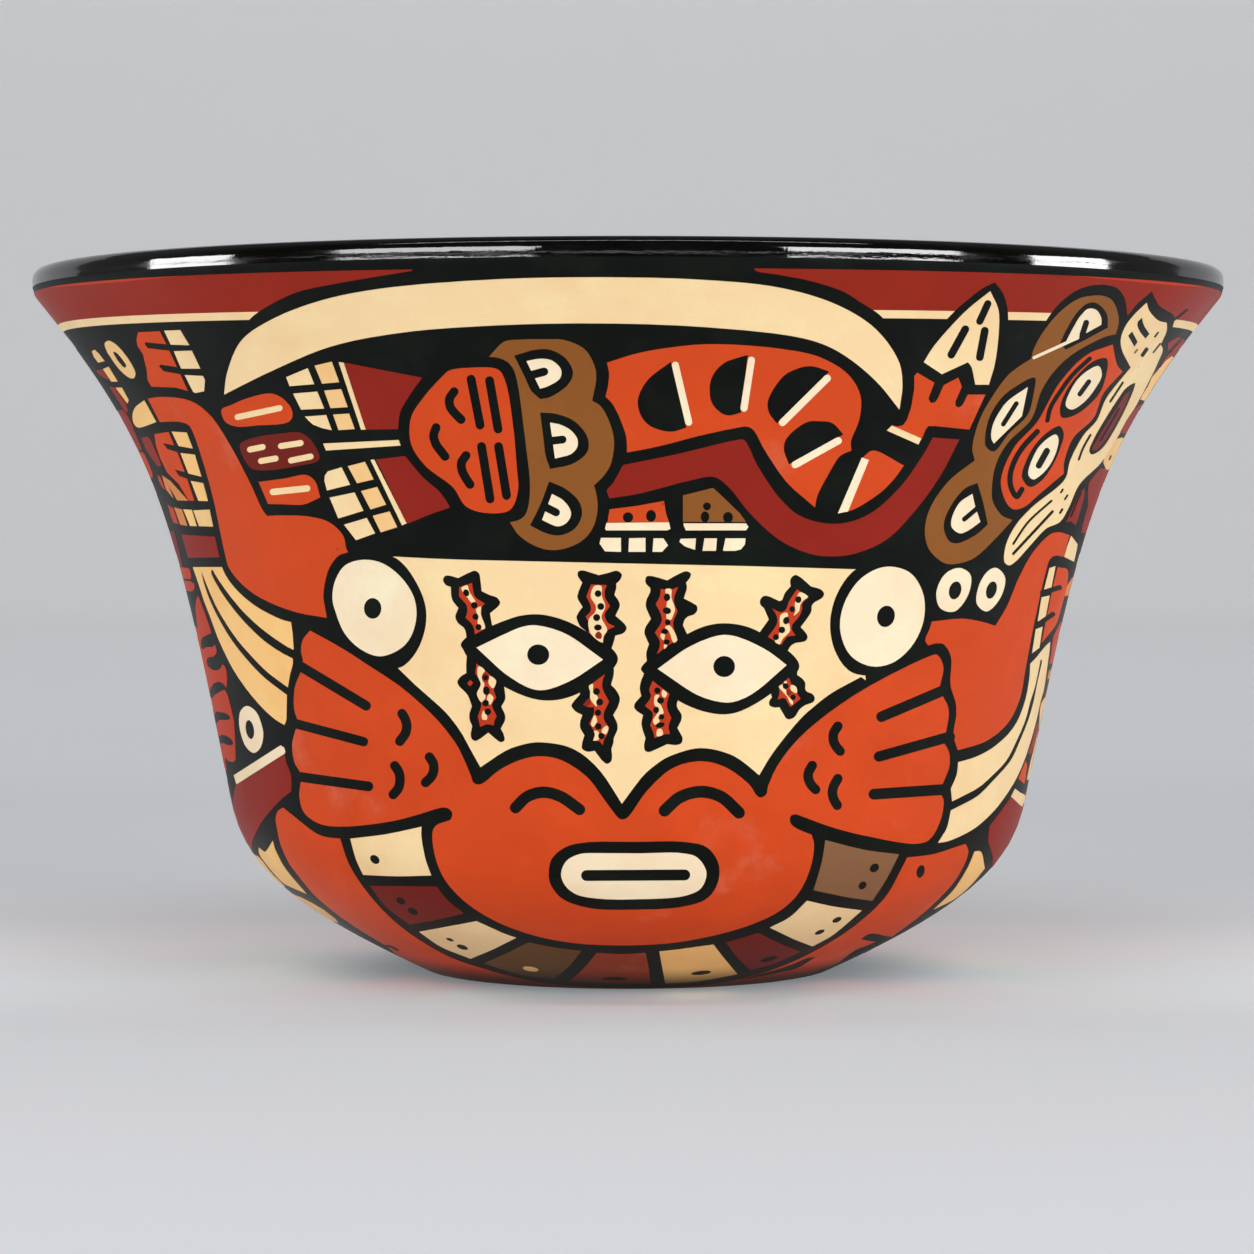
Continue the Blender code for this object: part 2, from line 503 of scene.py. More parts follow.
paint("pale", half_moons=[
    outline([(526.5, 360.5), (540, 358), (552, 360), (561, 369), (560, 377.5), (547, 386), (540, 388)]),
    outline([(550, 422), (560, 424), (571, 430), (577.5, 439), (577, 447), (571, 453.5), (555, 458)]),
    outline([(552, 493.5), (562, 499), (569, 507), (571, 514), (567, 522), (558, 526), (542, 519.5)]),
])
paint("black", tongues=[
    stroke(8.5, (533, 374), (544, 371)), stroke(8, (550, 440.5), (562.5, 439)),
    stroke(8, (546, 507), (556, 512)),
])

# Bird body and its tail
# The orange body under the crescent carries four black half moons, each closed by a cream stick.
STICK = 7
paint(
    "orange",
    bird_body=outline(
        [(607, 362), (640, 352), (690, 344.5), (720, 343.5), (780, 348), (820, 356.5), (848.5, 374),
         (860.5, 395), (859.5, 418.5), (851, 441), (851.5, 450)],
        [(840, 455.5), (831, 469.5), (817.5, 495), (815, 507)],
        [(787, 482), (765, 450), (753, 429), (747, 426), (735, 427.5), (700, 435), (660, 445.5),
         (627, 452)],
        [(626, 435), (613, 404), (605.5, 396)], [(608.5, 383), (609, 372), (607, 362)],
    ),
    tail=outline([(864, 456), (873, 450), (904, 465)], [(895, 477.5), (882, 491), (858, 507), (846, 512)]),
)
paint("black", body_moons=[
    outline(
        [(671, 361), (648, 379), (638, 398), (640, 413), (648, 424), (660, 429.5), (673, 431),
         (686.5, 427)],
    ),
    outline([(748, 354), (723, 363), (711, 379), (711, 400), (718, 410), (728, 415), (741, 412)]),
    outline([(829.5, 371), (812, 365.5), (797, 368), (783, 376), (768, 400), (769, 412), (777, 423)]),
    outline(
        [(843.5, 434), (832.5, 422.5), (820, 420.5), (807, 421.5), (786.5, 438), (784, 449), (789, 464)],
    ),
])
paint(
    "pale",
    body_sticks=[
        bar(STICK, (674.5, 361), (689.5, 425)), bar(STICK, (752, 356), (743.5, 411)),
        bar(STICK, (830, 375), (780, 424.5)), bar(STICK, (792, 466), (841.5, 438.5)),
    ],
    tail_stick=panel((862, 457), (869, 459.5), (848, 511), (838, 513)),
)

# Maroon arm and the two small heads
# A long dark red arm swings under the body to a hand at the right, over two small heads with bared teeth.
paint("maroon", long_arm=outline(
    [(623, 464.5), (680, 453), (737, 439.5), (744, 439.5), (758, 466), (780, 498), (801, 516), (836, 523.5),
     (868, 514.5), (899.5, 487.5), (923.5, 454), (933, 437)],
    [(959.5, 439)],
    [(941, 474.5), (915.8, 509.6), (887, 539), (860, 551.8), (838, 556), (812, 554), (780, 540), (750, 513),
     (728, 486), (714, 476.5), (690, 480), (640, 493), (609.5, 498)],
    [(607, 489.5), (612, 484), (618, 474), (623, 464.5)],
))
paint("orange", first_small_head=panel(
    (609.5, 509), (637, 505.5), (664, 500.5), (666, 513), (669, 522), (607.5, 522),
))
paint("brown", second_small_head=panel(
    (683, 495), (713, 487.5), (716, 490), (740, 513), (746, 521.5), (683, 521.5),
))
paint(
    "pale",
    lips=[
        panel((606.5, 522.5), (669, 522), (670.5, 528.5), (667, 530), (606, 530), (605, 528)),
        panel((683.5, 523), (746, 523), (748.5, 526.5), (746, 530), (686, 530), (684, 526)),
    ],
    teeth=[
        panel((601, 537.5), (621, 537.5), (621, 551.5), (605, 551), (599.5, 543)),
        panel((629, 538), (645.5, 537.5), (645.5, 551.5), (628.5, 551.5)),
        panel((653.5, 538), (663.5, 538), (668, 545), (662, 551.5), (652.5, 551.5)),
        panel((680.5, 538.5), (696, 538), (695, 549.5), (685, 546), (679.5, 541.5)),
        panel((704.5, 538), (717, 538), (716, 550.5), (702.5, 550.5)),
        panel((725.5, 538), (745.5, 538), (745, 544), (741, 549), (735, 550.5), (723, 550.5)),
    ],
)
paint("black", small_head_eyes=[
    dot(628, 517, 5.2), dot(651, 515.5, 5, 6), dot(707, 506, 4), dot(705, 516.5, 4.3, 5.5),
    dot(728, 517, 5, 5.5),
])

# Hand and blade at the crescent's right tip
# An orange hand grips a cream blade; the blade's black line runs up over the stripe and the red band.
paint("black", blade_line=outline(
    [(938, 329), (953, 312), (968, 299), (982, 288), (995, 281.5)],
    [(1003, 292), (1007.5, 306), (1008.5, 322), (1006, 345)],
))
paint("orange", grasping_hand=panel(
    (917.5, 372), (934.5, 382), (928.5, 398), (931, 402.5), (935.5, 401.5), (938, 398), (944, 384.5),
    (958.5, 377), (962, 386), (955.5, 401), (955.5, 405), (958.5, 407), (962.5, 405), (968, 394),
    (985.5, 394), (969.5, 429), (935.5, 425.5), (928.5, 425.5), (926, 428.5), (922, 438), (892, 425),
    (898, 426), (903.5, 424.5), (907.5, 418.5), (911.5, 406), (914.5, 388.5), (914.5, 375.5),
))
paint(
    "cream",
    cuff=panel((892, 425), (921.5, 438), (918.5, 444), (887, 430)),
    blade=outline(
        [(990.5, 290.5), (998.5, 308.5), (999, 330), (995, 363), (989, 384)], [(975.5, 384)],
        [(971.5, 366), (968, 361.5)], [(942, 373.5)], [(924, 361.5)],
        [(933, 347), (949, 328), (968, 308.5), (990.5, 290.5)],
    ),
)
paint("black", blade_slots=[
    stroke(7.5, (988, 303), (980, 320.5)), stroke(8, (965.5, 328.5), (951.5, 354)),
    stroke(8, (985, 330), (980, 356.5)),
])

# Right-hand mask and its headdress
# A second face seen from the side: brown lobes with half moons, an orange face and a cream mouth mask.
paint("black", mask_line=outline(
    [(1040, 330), (1050.5, 313.6), (1061, 301.3), (1076.5, 289.8), (1092, 284.5), (1104, 283.7)],
    [(1116.3, 286.8), (1124, 295.2), (1127.8, 315)], [(1137.8, 302.9), (1152.3, 290.6)],
    [(1154.6, 296.7), (1160.7, 305.9), (1173, 313.6), (1175, 317), (1170, 335)],
))
paint("brown", mask_lobes=outline(
    [(1031.5, 358), (1034, 348.5), (1041, 335), (1052, 320), (1065, 307), (1079, 298), (1092, 295),
     (1103, 295), (1112, 299), (1117.5, 310), (1119, 321.5), (1116, 333.5)],
    [(1105.5, 336), (1078, 350), (1063.5, 361), (1050.5, 375.5), (1041, 391.5), (1031.5, 418.5),
     (1009, 441), (999.5, 455.5), (994, 471), (992, 487), (992.5, 500), (1001.9, 515), (1012.7, 519.5)],
    [(995.5, 538.3), (973.2, 558.2), (952.5, 564), (942.9, 562), (929.4, 549.4), (925, 532), (929.5, 509.5),
     (948.5, 481), (975, 460)],
    [(972.5, 449), (976, 430), (985.5, 407.5), (1007.5, 375.5), (1019, 366), (1031.5, 358)],
))
paint("black", mask_moon_beds=[
    outline(
        [(1060, 343), (1067, 328), (1077, 312), (1087, 303), (1096, 302), (1107, 313), (1108, 327)],
        [(1086, 339), (1066, 349)],
    ),
    blob(
        (1035, 377), (1034, 392), (1028, 414), (1009, 433), (994, 451), (986, 446), (985.5, 433),
        (990, 415.5), (1001, 398), (1014, 387),
    ),
    outline(
        [(977.5, 482.5), (982.8, 500), (988, 524)],
        [(976.4, 534.3), (957.3, 543), (949.3, 540.7), (943.7, 527), (948.5, 509.6), (965, 488),
         (977.5, 482.5)],
    ),
])
paint(
    "pale",
    mask_moons=[
        outline(
            [(1066, 341.5), (1073, 328), (1081, 315), (1089, 308), (1097, 309.5), (1101.5, 317.5),
             (1101.5, 324)],
            [(1086, 332.5), (1066, 341.5)],
        ),
        outline(
            [(1028, 386.5), (1022, 415.5)], [(994, 443)],
            [(991.5, 438), (992.5, 426.5), (998, 414), (1007.5, 401), (1028, 386.5)],
        ),
        outline(
            [(972.5, 493.5), (975, 505), (980.4, 521.5)],
            [(966.8, 531), (959.7, 533), (952, 527), (951.7, 519), (959.7, 502.4), (972.5, 493.5)],
        ),
    ],
    # The pale stroke along the lobes is a painted highlight
    lobe_gleam=stroke(3, (1034, 357), (1078, 337)),
)
paint("black", mask_tongues=[
    stroke(6, (1086.5, 322), (1082.5, 334)), stroke(5, (1016.5, 403), (1003.5, 423.5)),
    stroke(5, (977.2, 508), (964.4, 518.8)),
])
paint("orange", mask_face=outline(
    [(1113, 344), (1087.5, 354), (1060, 382), (1037, 422), (1014, 447.5), (1001, 481), (1007, 503),
     (1014, 509), (1024.5, 506.5), (1038, 495), (1064, 473)],
    [(1064, 463), (1073, 438), (1094, 417), (1103.5, 393), (1123, 371)], [(1117.5, 364.5), (1113, 344)],
))
paint(
    "black",
    mask_eye_beds=[
        blob(
            (1107, 358), (1102, 388.5), (1087.5, 406), (1073, 415.5), (1062, 417), (1060, 408),
            (1066.5, 390), (1081, 371), (1095.5, 359.5),
        ),
        blob(
            (1060, 425.5), (1064, 433), (1060, 449), (1052, 466.5), (1041, 481), (1030, 486.5), (1022, 477),
            (1027, 458.5), (1036.5, 442.5), (1049, 430.5),
        ),
    ],
    mask_brows=[
        stroke(4.5, (1090, 358), (1073, 374), (1060, 391.5), (1050.5, 407.5), (1047.5, 420)),
        stroke(
            5.5, (1037.5, 431), (1023.5, 446), (1014, 462), (1010, 478), (1012.5, 490.5), (1017, 496),
            (1022, 489),
        ),
    ],
)
paint("pale", mask_eyes=[
    blob(
        (1099, 365.5), (1102, 374), (1094, 390), (1082.5, 403), (1071.5, 409), (1066, 405), (1074.5, 383.5),
        (1086, 371.5),
    ),
    blob(
        (1056, 434), (1058.5, 438), (1057, 449), (1050.5, 463.5), (1041, 474.5), (1033, 479), (1028.5, 474),
        (1036.5, 450.5), (1046, 439.5),
    ),
])
paint("black", mask_pupils=[stroke(5, (1089, 381), (1080, 393.5)), stroke(6.5, (1047, 450.5), (1039, 465))])
paint("cream", mouth_mask=outline(
    [(1147, 302), (1149.5, 310), (1159, 320), (1167, 322)], [(1167, 329.5), (1161, 344)],
    [(1163, 348.5), (1159, 360), (1140, 398), (1111, 447.5), (1100, 463.5), (1079.5, 484), (1068.9, 507),
     (1060, 521.5), (1046.5, 528), (1030.6, 544.6), (1014.7, 562), (1009, 565), (1004.8, 562),
     (1005.9, 545.4), (1015.5, 525.5), (1032, 507), (1065, 479), (1070.5, 460), (1084, 434.5), (1097, 420),
     (1106.5, 398), (1131, 367)],
    [(1122.5, 350), (1121, 339), (1125.5, 326), (1135, 313.5), (1147, 302)],
))
paint("black", side_mouth_line=blob(
    (1135.3, 382.3), (1126, 387.5), (1119, 397), (1106, 417), (1094, 438), (1089.3, 450.5), (1091.6, 454),
    (1097.5, 452), (1105, 445), (1113, 432.5), (1123, 414), (1130, 399), (1134.3, 388),
))
paint("wine", side_mouth=blob(
    (1129.6, 390.6), (1125.5, 393.3), (1117, 407), (1106, 424), (1096, 440.5), (1092, 448.8), (1096, 449.6),
    (1103, 443), (1110, 432), (1119.5, 415.5), (1127, 400),
))
paint(
    "black",
    blots=[
        outline(
            [(1142.3, 316.8), (1144, 324), (1149.8, 333.3)], [(1145.8, 338)],
            [(1140.5, 331.5), (1137.6, 325), (1138, 320.8)],
        ),
        panel((1132.3, 330.6), (1138, 341.3), (1134.7, 346.2), (1128.3, 335)),
    ],
    nicks=[
        stroke(2.2, (1158.3, 332), (1155.2, 336)), stroke(4, (1146.8, 348.6), (1142.8, 354.4)),
        stroke(2.2, (1063, 489), (1061, 492)), stroke(2.2, (1067.6, 495), (1065, 498.8)),
        stroke(2.6, (1062.3, 509), (1060.3, 512.4)), stroke(2, (1160.5, 343), (1153.6, 351.8)),
    ],
    whiskers=[
        stroke(2.5, (1123, 382), (1110.5, 401)), stroke(2.5, (1090.5, 434.5), (1083, 448), (1079, 459)),
        stroke(2, (1119, 408), (1111, 422), (1100.5, 440)),
    ],
    finger_lines=[
        stroke(2.5, (1051.5, 500.5), (1028, 522), (1013.4, 543.5)),
        stroke(3, (1052.6, 511.2), (1027.4, 538.3), (1013.4, 553.4)),
    ],
    lip_nick=stroke(2.5, (1187, 309), (1175, 319)),
)
paint("brown", faint_nick=stroke(2, (1137.4, 349), (1134.9, 352)))

# Slivers at the right edge
# Parts of the next figure's hand and cape show where the wall turns away; their far ends run under the sash.
SASH_HALF = math.radians(8.5)
TO_SASH_STEPS = 10


def paint_to_sash(slip, side, *shapes):
    """Lays shapes given by the edge that shows, in pixels from top to bottom, as far as the sash."""
    for shape in shapes:
        edge = wall_places(np.array(shape, float))
        way = np.linspace(0, 1, TO_SASH_STEPS)[1:, None]
        top, bottom = (end + way * (side * (SIDE - SASH_HALF / 2) - end[0], 0) for end in (edge[0], edge[-1]))
        painting.append((slip, np.vstack([edge, bottom, top[::-1]])))


paint_to_sash(
    "maroon", 1, [(1178, 336.5), (1172, 339.5), (1168, 342.5), (1168, 349)],
    [(1174, 350), (1168, 354), (1163, 361), (1158, 372), (1156.5, 375.5)],
    [(1140.5, 403.5), (1133, 410), (1127, 419), (1122, 428), (1120, 432)],
    [(1100, 468), (1096, 473), (1089, 482), (1088, 490), (1088, 505), (1086, 512), (1083, 523),
     (1081, 532.5)],
)
paint_to_sash("amber", 1, [
    (1172, 355.5), (1166, 360), (1158, 370), (1152, 377), (1148, 386), (1143, 394), (1140.5, 399),
])
paint_to_sash("ochre", 1, [
    (1122, 437), (1115.5, 439), (1110, 449), (1104.5, 457.5), (1103.5, 462), (1106, 469),
])
paint("maroon", edge_leaf=outline(
    [(1084.5, 487.5), (1080, 492), (1076, 500), (1068, 518), (1066, 521.8)], [(1071, 521), (1075.5, 525)],
    [(1078, 519), (1082, 505), (1084.5, 495), (1084.5, 487.5)],
))
paint("black", edge_lines=[
    stroke(2.4, (1181, 339), (1166, 355)), stroke(1.8, (1111, 455.5), (1109.5, 459)),
    stroke(2, (1081, 492), (1077, 501), (1071, 516)),
])
paint_to_sash(
    "honey", 1, [(1072.5, 577), (1068, 584), (1065, 591), (1064, 596)],
    [(1053, 666.5), (1049, 671), (1047.3, 679)],
)
paint_to_sash(
    "rust", 1, [(1060.5, 622), (1057, 629), (1053.5, 636), (1052, 645), (1051, 655), (1049, 664)],
    [(1046, 690.5), (1045, 696.5)],
)

# Right arm and hand
# An orange arm bends up from the cape to a hand whose nails are cream.
paint(
    "orange",
    right_arm=outline(
        [(1069.7, 534.8), (1060, 532), (1051.3, 533.5), (1033.8, 551), (1019.4, 576.5), (1006.7, 606.8),
         (995.5, 625.6)],
        [(984.3, 622), (962.9, 618.4), (931.9, 621.3)], [(930, 628), (925.4, 640.3), (928.4, 645.2)],
        [(936.8, 643), (943.7, 644), (951, 656), (950.6, 684.7), (956, 703), (956.4, 715.3), (953.7, 735.2),
         (958, 750)],
        [(986.7, 740.6), (1008.3, 722.4), (1020.2, 697.7), (1025, 672.2), (1033, 629), (1045, 575),
         (1050.5, 558.2), (1056, 555.3), (1064, 556.6)],
        [(1067.3, 543), (1069.7, 534.8)],
    ),
    right_fingers=outline(
        [(1057.7, 567), (1067.3, 569), (1067.3, 583), (1060.9, 610), (1056, 624.4), (1041.8, 642.7)],
        [(1045, 626), (1053, 587), (1057.7, 567)],
    ),
)
paint(
    "cream",
    right_cuff=panel(
        (1071.3, 535.4), (1077.6, 543.8), (1076.8, 549.4), (1074, 561.4), (1064.4, 556.6), (1067.3, 546.2),
    ),
    right_nails=[
        panel((1049.7, 567.8), (1055.6, 565.8), (1051.3, 587.7), (1044.2, 589.3)),
        panel((1041.8, 597), (1049.7, 595.2), (1045.4, 618), (1037.8, 621)),
        panel((1035.9, 629), (1042.6, 626.4), (1039.4, 647.5), (1032.2, 653)),
    ],
)
paint("black", right_finger_gaps=[bar(5, (1040, 593), (1062, 586.5)), bar(5, (1034, 627), (1055, 612.5))])

# Left edge: hands, thumb and nails
# Hands of the figure's left side, in orange and maroon, seen as the wall turns away. Their nails and rings
# are in cream and in yellower washes of it.
paint("ochre", ring=blob(
    (104.5, 342.7), (107.6, 340), (114.8, 343.3), (124.5, 353.6), (132.4, 365.7), (135.2, 373),
    (133.6, 377.6), (129.4, 377.2), (120.9, 370.6), (112.4, 359.7), (106.4, 350),
))
paint("black", ring_hole=blob(
    (113, 351.2), (116, 351.8), (122.1, 358.5), (126, 365.1), (124.5, 367.2), (118.5, 361.5),
))
paint("cream", upper_nails=[
    panel((163.9, 330), (179.9, 329.4), (189, 344.5), (170.6, 343.9)),
    panel((173.6, 350.6), (191.5, 350), (200, 368), (181, 367.9)),
    panel((184.5, 374.4), (202.7, 375.4), (204.7, 379.7), (203.9, 390.6), (195.4, 392.4), (193, 391.2)),
])
paint(
    "ochre",
    edge_nail=panel((91.6, 350.6), (94.2, 349), (99, 353.6), (104.2, 360.5), (97.9, 362), (93.6, 356)),
    row_nail=panel((193.2, 510), (209.3, 509.2), (213, 526.3), (199, 525.8)),
)
paint(
    "amber",
    edge_cells=[
        panel((102.7, 368.4), (108.2, 366), (117.3, 381), (111.2, 381)),
        panel((115.4, 387), (121.5, 387), (128.5, 399.6), (127.2, 403)),
    ],
    thumb=outline(
        [(144, 399.7), (156, 421.5)],
        [(137.9, 427), (133.6, 422.7), (132.4, 415), (134.8, 407), (144, 399.7)],
    ),
    lower_nails=[
        panel((171.5, 431), (186.5, 432), (192.5, 448), (178.5, 445.5)),
        panel((180.3, 452.5), (194.6, 454.2), (201.2, 476.2), (188.3, 473)),
        panel((190.8, 480.5), (203, 482.7), (207.8, 500.7), (198.3, 500.4)),
    ],
    row_cell=panel((183.2, 508.9), (191.6, 509.5), (196.7, 525.9), (190, 525.5)),
)
paint(
    "honey",
    row_leaf=panel(
        (161.9, 475), (170, 480.3), (188, 500.3), (177.3, 500), (168, 484.5), (173.3, 498), (166, 489),
    ),
    row_tip=panel((174, 507), (181.7, 509), (187.3, 525.5), (180.3, 524.3)),
)
paint(
    "maroon",
    edge_webs=[
        panel((95.6, 369.7), (102.2, 368.8), (109.7, 379.5), (105, 378), (98.5, 373.5)),
        panel(
            (109.2, 386), (114.4, 386.5), (125.9, 403.7), (127.8, 409.4), (126.9, 412.3), (124.5, 410.4),
            (118.3, 400.8), (111.6, 390.3),
        ),
        panel(
            (141.2, 437.2), (148.4, 436.2), (150.8, 440), (159.4, 459.2), (161.3, 465.9), (157.5, 465.9),
            (151.8, 458.2), (145, 447.7),
        ),
    ],
    row_block=panel((181.3, 534), (214.8, 536.4), (219.3, 557), (188, 557.5)),
)
paint("rust", edge_tips=[
    panel((157.5, 474), (160.5, 477), (165, 489), (162, 487), (158.5, 480)),
    panel((167.6, 504.2), (173.3, 508), (178.4, 524), (173.3, 522), (170.2, 513.8)),
])
paint_to_sash("maroon", -1, [
    (123, 409), (127.5, 415), (132.5, 424.5), (134, 430), (137, 437), (141.5, 447), (141, 450),
])
paint_to_sash("wine", -1, [(174.5, 531), (177.5, 543), (182, 562), (183, 567)])
paint_to_sash("rust", -1, [(142, 451.5), (144.5, 454), (148, 462), (152.5, 473), (152.5, 477)])
paint(
    "orange",
    upper_hand=panel(
        (137.9, 331.6), (159.4, 330.6), (166, 343.5), (145, 341.5), (144.2, 343.3), (147.5, 347.5),
        (169, 350), (176.6, 366.3), (160.3, 363.9), (158.5, 365.7), (163.3, 370.6), (180, 373.6),
        (187.5, 390.2), (175.4, 387), (151.2, 386), (147.5, 379.7), (146.6, 369.4), (142.7, 353.6),
        (137.2, 345), (136.3, 339),
    ),
    lower_hand=panel(
        (154.2, 433.6), (168.4, 431.4), (173.8, 444.8), (162.5, 442.5), (167, 448.5), (177.2, 451.8),
        (184.5, 471.5), (174.5, 469), (179, 475.5), (187, 478.4), (194.2, 500.4), (188.5, 500), (179, 484),
        (167, 472), (160.5, 458.5), (156, 445.5),
    ),
)

# Left arm and its fingers
# The orange arm comes down from the upper hand to the ear; three fingers hold the feather fans.
paint(
    "orange",
    left_arm=outline(
        [(147.5, 398), (161, 396.3), (190, 400.2), (209.3, 414), (227.2, 440), (249.9, 482.5), (262, 509),
         (266.8, 515.5)],
        [(278.5, 515), (307.9, 516), (329.2, 522), (343, 535.3), (346, 547.8), (347.9, 552)],
        [(338.7, 555.2), (329.2, 567.6), (324, 586.7), (323.3, 597), (326.7, 617.5)],
        [(294.7, 611.6), (258, 596.2), (238.9, 580.8), (228.7, 567), (225, 554.4), (214, 501.6),
         (204.5, 466.4), (193.6, 433.6), (189, 425), (183, 422), (173, 421), (159.7, 421.5)],
        [(147.5, 398)],
    ),
    top_finger=blob(
        (221.5, 409), (232, 404), (246, 398), (272, 393), (286, 401), (292.5, 413), (289, 421), (255, 425),
        (236, 426), (225, 421),
    ),
    low_finger=outline(
        [(268, 503.5), (258.5, 481.5)], [(285, 478), (306, 474.5), (315, 481), (320, 497)],
        [(304, 504), (285, 504), (268, 503.5)],
    ),
)
paint("wine", middle_finger=blob(
    (240, 444), (255, 437), (285, 432.5), (300, 432), (312, 441), (319, 459), (300, 465), (262, 470),
    (250, 467),
))
paint("cream", finger_bars=[
    stroke(6, (237.5, 416.5), (279.5, 407.5)), stroke(6, (250, 449), (262.5, 446.5)),
    stroke(6, (281, 445.5), (300.5, 442.5)), stroke(6, (261, 460.5), (275.5, 458)),
    stroke(6, (291, 460), (310.5, 456)), stroke(6.5, (273, 491.5), (307, 488)),
])

# Feather fans
# Two fans of feathers beside the fingers: cream tips, ochre cells, a cream quill and a maroon web.
paint("cream", fan_tips=[
    panel((286, 376.5), (307.5, 367.5), (314, 383.5), (289.5, 385.5)),
    panel((293, 393), (317, 391), (324, 408), (301, 409)),
    panel((305, 416), (326, 414.5), (331.5, 429.5), (322, 427.5), (313, 424), (308, 419.5)),
    panel((327, 490), (324.3, 480.3), (324.8, 475.2), (327.7, 471), (341.3, 466.8), (350, 484.3)),
    panel((329.6, 497.2), (354.4, 492), (363.3, 510.4), (338.3, 518)),
    panel((344, 524.3), (366.6, 517.5), (375, 533), (356, 539.8)),
])
paint("ochre", fan_cells=[
    panel((314.5, 365), (331.5, 361), (339, 381.5), (322, 383)),
    panel((324, 390), (341, 388.5), (347.5, 406.5), (330.5, 407.5)),
    panel((333, 414), (349, 413), (354.5, 428.5), (338.5, 429.5)),
    panel((347.8, 465.7), (364.8, 461.3), (373.5, 479), (357, 482.8)),
    panel((361, 490.6), (377, 486.5), (386, 504.3), (370.5, 509)),
    panel((372.7, 515.4), (389.5, 511), (397, 526.8), (380.8, 532)),
])
paint("maroon", fan_webs=[
    outline([(366, 429), (344, 362)], [(380, 369), (422, 377)], [(410, 394), (400, 412), (398, 428.5)]),
    outline(
        [(407, 523.5), (376, 459)], [(405, 455.5)], [(422, 476), (441, 493), (450, 507)],
        [(430, 514), (407, 523.5)],
    ),
])
paint("cream", quills=[
    panel((338.5, 361.5), (343.5, 362), (365.5, 429), (361, 429)),
    panel((323, 443), (398.5, 439.5), (400.5, 445), (326, 450)),
    panel((370.5, 459.5), (374, 459), (406.5, 523), (402, 525)),
])

# Face
# One cream field holds both eyes; the ears are pale discs ringed in black.
paint("cream", face=outline(
    [(388, 556), (450, 559), (600, 562.5), (770, 566.4), (857, 569)], [(866, 684)], [(762, 809)],
    [(480, 809)], [(394, 664)], [(388, 556)],
))
paint("black", ear_rings=[
    blob(
        (360, 553), (395.5, 557.5), (418.4, 586), (426.5, 615), (418.4, 648), (400.8, 667), (378, 666),
        (340, 638), (327.5, 600), (335, 567),
    ),
    blob(
        (885, 560), (855.7, 569), (837.3, 593), (830, 623.5), (835.8, 652.6), (851, 671.7), (875, 675),
        (900, 666), (920, 642), (929, 605), (914, 569),
    ),
])
paint(
    "pale",
    ears=[
        blob(
            (332.4, 598.4), (335, 580.8), (344.6, 565.4), (360.7, 559.6), (380, 562), (400, 576),
            (414.5, 599), (415.3, 623.5), (404.6, 645), (380.8, 656), (360.7, 649), (344.6, 633),
            (335, 610),
        ),
        blob(
            (892.5, 566.4), (910.8, 573), (923, 593), (923.8, 619), (912.4, 645), (892.5, 662.5),
            (871, 666), (851, 655.6), (840.7, 632.7), (842.7, 608), (857.2, 582), (876, 569),
        ),
    ],
    ear_beads=[
        blob(
            (959.8, 567.6), (970.5, 574.5), (968.2, 594.4), (954.4, 611.2), (940.7, 608.2), (936.4, 593),
            (945.3, 573.7),
        ),
        blob(
            (996.5, 567.6), (1005, 576.8), (1000.4, 597.5), (986.6, 611.2), (977, 603.6), (979.7, 583.7),
            (989, 570),
        ),
    ],
)
paint(
    "black",
    ear_holes=[
        dot(372.6, 608.1, 8.8, 10.4), dot(886, 616.1, 8.9, 10.9, 15), dot(955.2, 590.1, 6.2, 9.2, 15),
        dot(991.5, 589.8, 5.2, 9, 17),
    ],
    eye_beds=[
        blob(
            (460.8, 645.4), (461.3, 642.5), (466.5, 637), (492.6, 625), (522.5, 615), (546.9, 615),
            (579.9, 627.3), (618, 658.5), (579.9, 692.4), (544.6, 700.3), (504.5, 686.7), (466.8, 656),
            (463.2, 649.6),
        ),
        blob(
            (641, 668), (686.7, 634), (712.5, 624), (736.9, 624), (759.9, 632), (799.5, 665.5),
            (770.3, 694), (733.9, 713), (709.4, 712.6), (678.8, 700.8), (644.6, 674),
        ),
    ],
)
paint("pale", eyes=[
    outline(
        [(476.5, 647.3), (507, 632.7), (522.5, 626.5), (536.2, 625), (565.3, 633.4), (603, 659.4)],
        [(571.4, 680), (545.4, 689.6), (531.6, 688.5), (507, 674.8), (476.5, 647.3)],
    ),
    outline(
        [(657.7, 668.6), (689.5, 646.4), (720, 635), (735.4, 636), (766, 649.5), (786.7, 664.8)],
        [(758.4, 689.3), (743, 698.5), (727.8, 702.3), (700.2, 696), (657.7, 668.6)],
    ),
])
paint("black", pupils=[dot(538.2, 654.4, 11.1, 10.3), dot(724.2, 666.3, 10.9, 10.6)])

# Feathers round the eyes
# Small red plumes with lobed black edges stand above and below each eye, four to the left, four to the right.
# A pale ribbon winds up each plume, with dark dots between its turns.
def plume(edge, web, ribbons, dots, embers=()):
    """One plume, from its black edge inwards."""
    paint("black", edge=outline(*edge))
    paint("rust", web=outline(*web))
    paint("cream", ribbons=[blob(*ribbon) for ribbon in ribbons])
    paint("maroon", embers=[blob(*ember) for ember in embers])
    paint("black", dots=[dot(*spot) for spot in dots])


